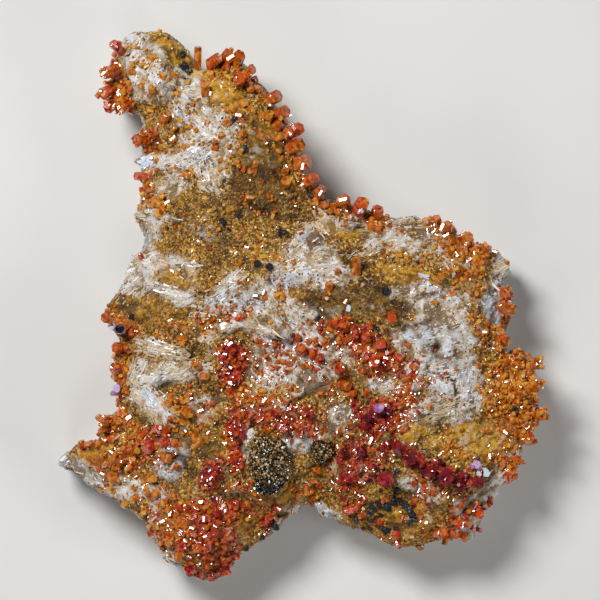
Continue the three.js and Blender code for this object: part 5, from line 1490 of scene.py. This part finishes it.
def pale_rows(random):
    """The pale crystals, some of them painted glints, two smaller ones grown on each, and the
    tables of the tuft.
    """
    rows = [list(row) for row in PALE_AND_GLINT_CRYSTALS]
    # Each smaller one: its place and size as shares of the large one's size, and how much it
    # is higher, turned and paler
    smaller = [(0.22, -0.18, 0.6, 0.6, 0.25, 25, 0.3), (-0.3, 0.2, 0.45, 0.5, 0.1, -15, -0.2)]
    for right, down, along, across, height, turn, tone in PALE_AND_GLINT_CRYSTALS:
        for aside, below, long, wide, higher, turned, paler in smaller:
            rows.append([right + aside * along, down + below * across, long * along,
                         wide * across, height + higher, turn + turned,
                         min(max(tone + paler, 0), 1)])
    right, down, reach, number = PALE_TUFT
    table_height = 0.6
    for _ in range(number):
        rows.append([right + random.normal(0, 0.5) * reach, down + random.normal(0, 0.3) * reach,
                     random.uniform(3, 6), random.uniform(2, 4), table_height,
                     random.normal(0, 30), random.uniform(0.75, 1.0)])
    return np.array(rows)


def make_hollow_crystal(surfaces, material):
    """A pale hexagonal wall around a hollow, rooted in the rim of the plate, with a dark prism
    inside it as painted shade.
    """
    right, down, width = HOLLOW_CRYSTAL
    root_depth, wall_height, shade_prism_height, shade_prism_share = 1.7, 3.3, 2.0, 0.86
    ring = [(right + 0.5 * width * x, down + 0.5 * width * y)
            for x, y in ((0, 0), (1, 0), (-1, 0), (0, 1), (0, -1))]
    places, _, _ = on_surface(surfaces, plate_places(ring))
    root = np.array([[*places[0, :2], places[:, 2].max() - root_depth]])
    frames = turned_frames(np.array([[-0.1, 0.05, 1.0]]), np.zeros(1))
    across = width * PIXEL
    for name, template, size, finish in (
        ("wall", hexagonal_cup(), (across, across, wall_height), material),
        # The dark prism in the hollow is painted shade
        ("hollow", hexagonal_prism(),
         (across * shade_prism_share, across * shade_prism_share, shade_prism_height), hollow_shade_finish()),
    ):
        strew("hexagon_" + name, template, root, frames, np.array([size]), np.array([0.8]),
              finish)


class MakePaleCrystals(bpy.types.Operator):
    """Sets the pale crystals, partly painted glints, the hollow one with its painted shade and the
    bluish-white tuft
    """
    bl_idname = "specimen.make_pale_crystals"
    bl_label = "Make the pale crystals"

    def execute(self, context):
        random = np.random.default_rng(61)
        material = pale_and_glint_finish()
        surface_pull, scatter, large_share, sunk = 0.5, 0.35, 0.3, 0.4
        widening = [1.15, 1.15, 1]
        rows = pale_rows(random)
        surfaces = [made["rock"], *made["crusts"], *made["prisms"]]
        places, normals, hit = landed(surfaces, plate_places(rows))
        rows = rows[hit]
        large = np.arange(len(rows)) < len(PALE_AND_GLINT_CRYSTALS)
        lean = random.normal(0, scatter, (len(rows), 3)) * np.where(large, large_share, 1)[:, None]
        axis = normals * surface_pull + [0, 0, 1] + lean
        frames = turned_frames(axis, np.radians(rows[:, 5]) + math.pi / 2)
        height = rows[:, 4]
        places = places - frames[2] * (height * sunk)[:, None]
        sizes = np.column_stack([rows[:, 2:4] * PIXEL, height]) * widening
        strew("pale_and_glint_crystals", hexagonal_prism(0.06), places, frames, sizes, rows[:, 6],
              material)
        make_hollow_crystal(surfaces, material)
        return {"FINISHED"}


def barite_tones(places, pixels, stain):
    """Tones of pieces of barite, lighter on grey patches and darker by the stain."""
    return (0.56 + 0.3 * patch_cover(pixels, GREY) - stain
            + 0.4 * noise_at(places, 3.0, seed=61, octaves=3))


def sheaf_blades(random, right, down, along, across, direction, fan, number, length):
    """Places, three directions, sizes and tones of the blades of one sheaf."""
    kept_share, widening = (0.8, 1.5) if length >= LONG_BLADE else (0.55, 1.0)
    spread, least_upward, widest_swirl = 0.55, 0.3, math.radians(22)
    flattening, roll, tone_scatter, lifted = 0.7, 0.22, 0.05, 0.03
    number = int(number * settings().blade_share * kept_share)
    turn = math.radians(direction)
    run = random.normal(0, spread, number) * along
    aside = random.normal(0, spread, number) * across
    spots = np.stack([
        right + run * math.cos(turn) - aside * math.sin(turn),
        down - run * math.sin(turn) - aside * math.cos(turn),
    ], axis=1)
    places, normals, _ = landed([made["rock"]], plate_places(spots), least_upward)
    count = len(places)
    swirl = noise_at(places, 5.0, seed=60) * widest_swirl
    heading = turn + swirl + np.radians(random.normal(0, fan * spread, count))
    pitch = np.radians(random.uniform(-3, 8, count))
    forward = np.stack([np.cos(heading) * np.cos(pitch), np.sin(heading) * np.cos(pitch),
                        np.sin(pitch)], axis=1)
    rising = (forward * normals).sum(1, keepdims=True)
    forward = unit(forward - normals * rising * flattening)
    side = unit(np.cross(normals + random.normal(0, roll, (count, 3)), forward))
    top = np.cross(forward, side)
    long = length * random.uniform(0.35, 1.1, count)
    wide = settings().blade_width / MM * random.lognormal(-0.2, 0.5, count) * widening
    thick = random.uniform(0.1, 0.22, count)
    pixels = photo_pixels(places)
    stained = np.maximum(stain_cover(pixels), 0.9 * patch_cover(pixels, ORANGE))
    tones = barite_tones(places, pixels, 0.5 * stained)
    tones = np.clip(tones + random.normal(0, tone_scatter, count), 0, 1)
    sizes = np.stack([long, wide, thick], axis=1)
    return places + top * lifted, forward, side, top, sizes, tones


class MakeBlades(bpy.types.Operator):
    """Lays the fine barite blades in their sheaves"""
    bl_idname = "specimen.make_blades"
    bl_label = "Make the barite blades"

    def execute(self, context):
        random = np.random.default_rng(23)
        sheaves = [sheaf_blades(random, *sheaf) for sheaf in SHEAVES]
        places, *frames, sizes, tones = (np.concatenate(parts) for parts in zip(*sheaves))
        half = len(places) // 2
        made["pearl"] = blade_finish()
        for name, part in (("north", slice(0, half)), ("south", slice(half, None))):
            strew("barite_blades_" + name, barite_blade(), places[part],
                  [direction[part] for direction in frames], sizes[part], tones[part],
                  made["pearl"])
        return {"FINISHED"}


def grain_share(pixels, on_ochre):
    """Share of the grains that is kept at each pixel."""
    white = patch_cover(pixels, WHITE)
    share = 1 - white * 0.9 if on_ochre else white
    for patches, cleared in ((RED, 0.7), (YELLOW, 0.3), (SMOOTH, 0.85)):
        share = share * (1 - cleared * patch_cover(pixels, patches))
    for line in CREVICES:
        share = share * smooth_step(line_distance(pixels, line), 1.2, 3.5)
    return share


class MakeGrains(bpy.types.Operator):
    """Strews angular grains of ochre and of barite over the rock"""
    bl_idname = "specimen.make_grains"
    bl_label = "Make the grains"

    def execute(self, context):
        random = np.random.default_rng(31)
        count = settings().grain_count
        self.strew_grains(random, "ochre_grains", count, grain_finish())
        self.strew_grains(random, "barite_grains", count // 6, made["pearl"])
        return {"FINISHED"}

    def strew_grains(self, random, name, number, material):
        """Strews a number of grains where the rock's stain or its bare barite shows."""
        on_ochre = name == "ochre_grains"
        tries, spare, scatter, largest = 8, 2, 0.8, 1.0
        low = plate_places((LEFT_PIXEL, BOTTOM_PIXEL))
        high = plate_places((RIGHT_PIXEL, TOP_PIXEL))
        flat = random.uniform(low, high, (number * tries, 2))
        kept = random.uniform(0, 1, len(flat)) < grain_share(photo_pixels(flat), on_ochre)
        flat = flat[kept][: number * spare]
        places, normals, hit = on_surface([made["rock"]], flat)
        picked = np.nonzero(hit)[0][:number]
        places, normals, pixels = places[picked], normals[picked], photo_pixels(flat[picked])
        count = len(places)
        size = random.lognormal(-1.05, 0.33, (count, 1)) * random.uniform(0.5, 1.5, (count, 3))
        frames = scattered_frames(random, normals, scatter)
        if on_ochre:
            tones = (0.5 + 0.2 * patch_cover(pixels, YELLOW)
                     - 0.22 * patch_cover(pixels, BROWN)
                     + 0.4 * noise_at(places, 2.4, seed=62, octaves=3)
                     + 0.3 * noise_at(places, 6.0, seed=63) + random.normal(0, 0.2, count))
        else:
            tones = (barite_tones(places, pixels, 0.45 * stain_cover(pixels))
                     + random.normal(0, 0.18, count))
        strew(name, shard(), places, frames, np.minimum(size, largest), np.clip(tones, 0, 1),
              material)


def make_rosette(random, node, number, material):
    """Makes a cushion's core and covers it with crystals, darker ones on its south side."""
    step, smoothing, core_tone, glint_share = 0.4, 2, 0.12, 0.28
    least_upward, flattened, scatter, sunk, darkening = 0.2, [2, 2, 0.6], 0.35, 0.3, 0.9
    mesh = skin_over(node, node + "_core", step, smoothing)
    add_attribute(mesh, "tone", np.full(len(mesh.vertices), core_tone))
    low, high = (np.array(corner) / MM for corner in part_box(node))
    show(mesh, node + "_core", material, [node])

    flat = random.uniform(low[:2], high[:2], (number, 2))
    places, normals, _ = landed([surface_tree(mesh)], flat, least_upward)
    count = len(places)
    middle = (low + high) / 2
    outward = (places - middle) / (high - low) * flattened
    across = random.uniform(0.22, 0.5, count)
    along = random.uniform(0.5, 1.1, count)
    frames = scattered_frames(random, outward + normals, scatter)
    places = places - frames[2] * (along * sunk)[:, None]
    southern = smooth_step((middle[1] - places[:, 1]) / (high[1] - low[1]), 0.22, 0.42)
    tones = np.clip(random.beta(1.0, 0.9, count) * (1 - darkening * southern), 0, 1)
    turn_to_light(random, frames, random.uniform(0, 1, count) < glint_share)
    strew(node + "_crystals", hexagonal_prism(), places, frames, crystal_sizes(across, along),
          tones, material)


class MakeRosettes(bpy.types.Operator):
    """Covers the dark cushions with fine golden crystals"""
    bl_idname = "specimen.make_rosettes"
    bl_label = "Make the dark rosettes"

    def execute(self, context):
        random = np.random.default_rng(41)
        material = dark_finish()
        for node, number in (("dark_rosette_large", 2400), ("dark_rosette_small", 560)):
            make_rosette(random, node, number, material)
        return {"FINISHED"}


class MakeBlackSpots(bpy.types.Operator):
    """Adds the black beads and the thin black spots"""
    bl_idname = "specimen.make_black_spots"
    bl_label = "Make the black spots"

    def execute(self, context):
        random = np.random.default_rng(47)
        material = black_finish()
        grains_each, spread, lifted = 5, 0.22, 0.25
        rows = np.repeat(np.array(BLACK_SPOTS, float), grains_each, axis=0)
        rows[:, :2] += random.normal(0, spread, (len(rows), 2)) * rows[:, 2:]
        surfaces = [made["rock"], *made["crusts"]]
        places, normals, hit = landed(surfaces, plate_places(rows))
        count = len(places)
        wide = rows[hit, 2] * PIXEL * random.uniform(0.6, 1.1, count)
        frames = turned_frames(normals, spins(random, count))
        sizes = np.stack([wide, wide * random.uniform(0.7, 1, count), wide * 0.9], axis=1)
        strew("black_spots", round_grain(), places + normals * lifted, frames, sizes,
              np.zeros(count), material)
        for name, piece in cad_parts.items():
            if name.startswith("black_bead"):
                piece.data.materials.clear()
                piece.data.materials.append(material)
        return {"FINISHED"}


# The studio's lamps: name, direction from the specimen, width in metres, power in watts
LAMPS = [
    ("key", LIGHT_TOWARDS, 0.26, 5.0),
    ("side", Vector((0.8, -0.35, 0.5)).normalized(), 0.24, 1.3),
    ("low", Vector((-0.2, -0.8, 0.6)).normalized(), 0.3, 0.8),
]
LAMP_DISTANCE = 0.75
LAMP_AIM_HEIGHT = 0.015
SKY_COLOUR = (0.9, 0.94, 1, 1)
SKY_STRENGTH = 0.05
CAMERA_DISTANCE = 1.0
FACE_HEIGHT = 0.013
FOCAL_LENGTH = 300.0


class MakeStage(bpy.types.Operator):
    """Adds the pale floor, the soft light and the camera above the specimen"""
    bl_idname = "specimen.make_stage"
    bl_label = "Make the stage"

    def execute(self, context):
        self.lay_floor(context.scene)
        self.hang_lamps(context.scene)
        self.set_camera(context.scene)
        context.scene.view_settings.view_transform = "Standard"
        return {"FINISHED"}

    def lay_floor(self, scene):
        shape = bmesh.new()
        bmesh.ops.create_grid(shape, x_segments=1, y_segments=1,
                              size=settings().floor_size / 2)
        mesh = bpy.data.meshes.new("floor")
        shape.to_mesh(mesh)
        shape.free()
        mesh.materials.append(floor_finish())
        floor = bpy.data.objects.new("floor", mesh)
        scene.collection.objects.link(floor)

    def hang_lamps(self, scene):
        scene.world = bpy.data.worlds.new("studio")
        scene.world.use_nodes = True
        sky = scene.world.node_tree.nodes["Background"].inputs
        sky["Color"].default_value = SKY_COLOUR
        sky["Strength"].default_value = SKY_STRENGTH
        for name, towards, size, power in LAMPS:
            data = bpy.data.lights.new(name, "AREA")
            data.shape = "DISK"
            data.size = size
            data.energy = power
            lamp = bpy.data.objects.new(name, data)
            lamp.location = Vector((0, 0, LAMP_AIM_HEIGHT)) + towards * LAMP_DISTANCE
            lamp.rotation_euler = towards.to_track_quat("Z", "Y").to_euler()
            scene.collection.objects.link(lamp)

    def set_camera(self, scene):
        """Sets the camera straight above, its frame as wide as the photograph's."""
        data = bpy.data.cameras.new("camera")
        data.lens = FOCAL_LENGTH
        data.sensor_width = FRAME_PIXELS * PIXEL * MM * FOCAL_LENGTH / CAMERA_DISTANCE
        data.clip_end = 10
        camera = bpy.data.objects.new("camera", data)
        middle = plate_places((FRAME_PIXELS / 2, FRAME_PIXELS / 2)) * MM
        camera.location = (*middle, CAMERA_DISTANCE + FACE_HEIGHT)
        scene.collection.objects.link(camera)
        scene.camera = camera


OPERATORS = [MakeRock, MakeDruses, MakeSmallCrystals, MakeLargeCrystals, MakeBlades,
             MakeGrains, MakeRosettes, MakeBlackSpots, MakePaleCrystals, MakeStage]


class SpecimenPanel(bpy.types.Panel):
    bl_idname = "VIEW3D_PT_specimen"
    bl_label = "Vanadinite on barite"
    bl_space_type = "VIEW_3D"
    bl_region_type = "UI"
    bl_category = "Specimen"

    def draw(self, context):
        for key in SpecimenSettings.__annotations__:
            self.layout.prop(context.scene.specimen, key)
        for operator in OPERATORS:
            self.layout.operator(operator.bl_idname)


CLASSES = [SpecimenSettings, *OPERATORS, SpecimenPanel]


def register():
    for each in CLASSES:
        bpy.utils.register_class(each)
    bpy.types.Scene.specimen = PointerProperty(type=SpecimenSettings)


def unregister():
    del bpy.types.Scene.specimen
    for each in reversed(CLASSES):
        bpy.utils.unregister_class(each)


def main():
    register()
    for operator in OPERATORS:
        group, name = operator.bl_idname.split(".")
        getattr(getattr(bpy.ops, group), name)()


if __name__ == "__main__":
    main()
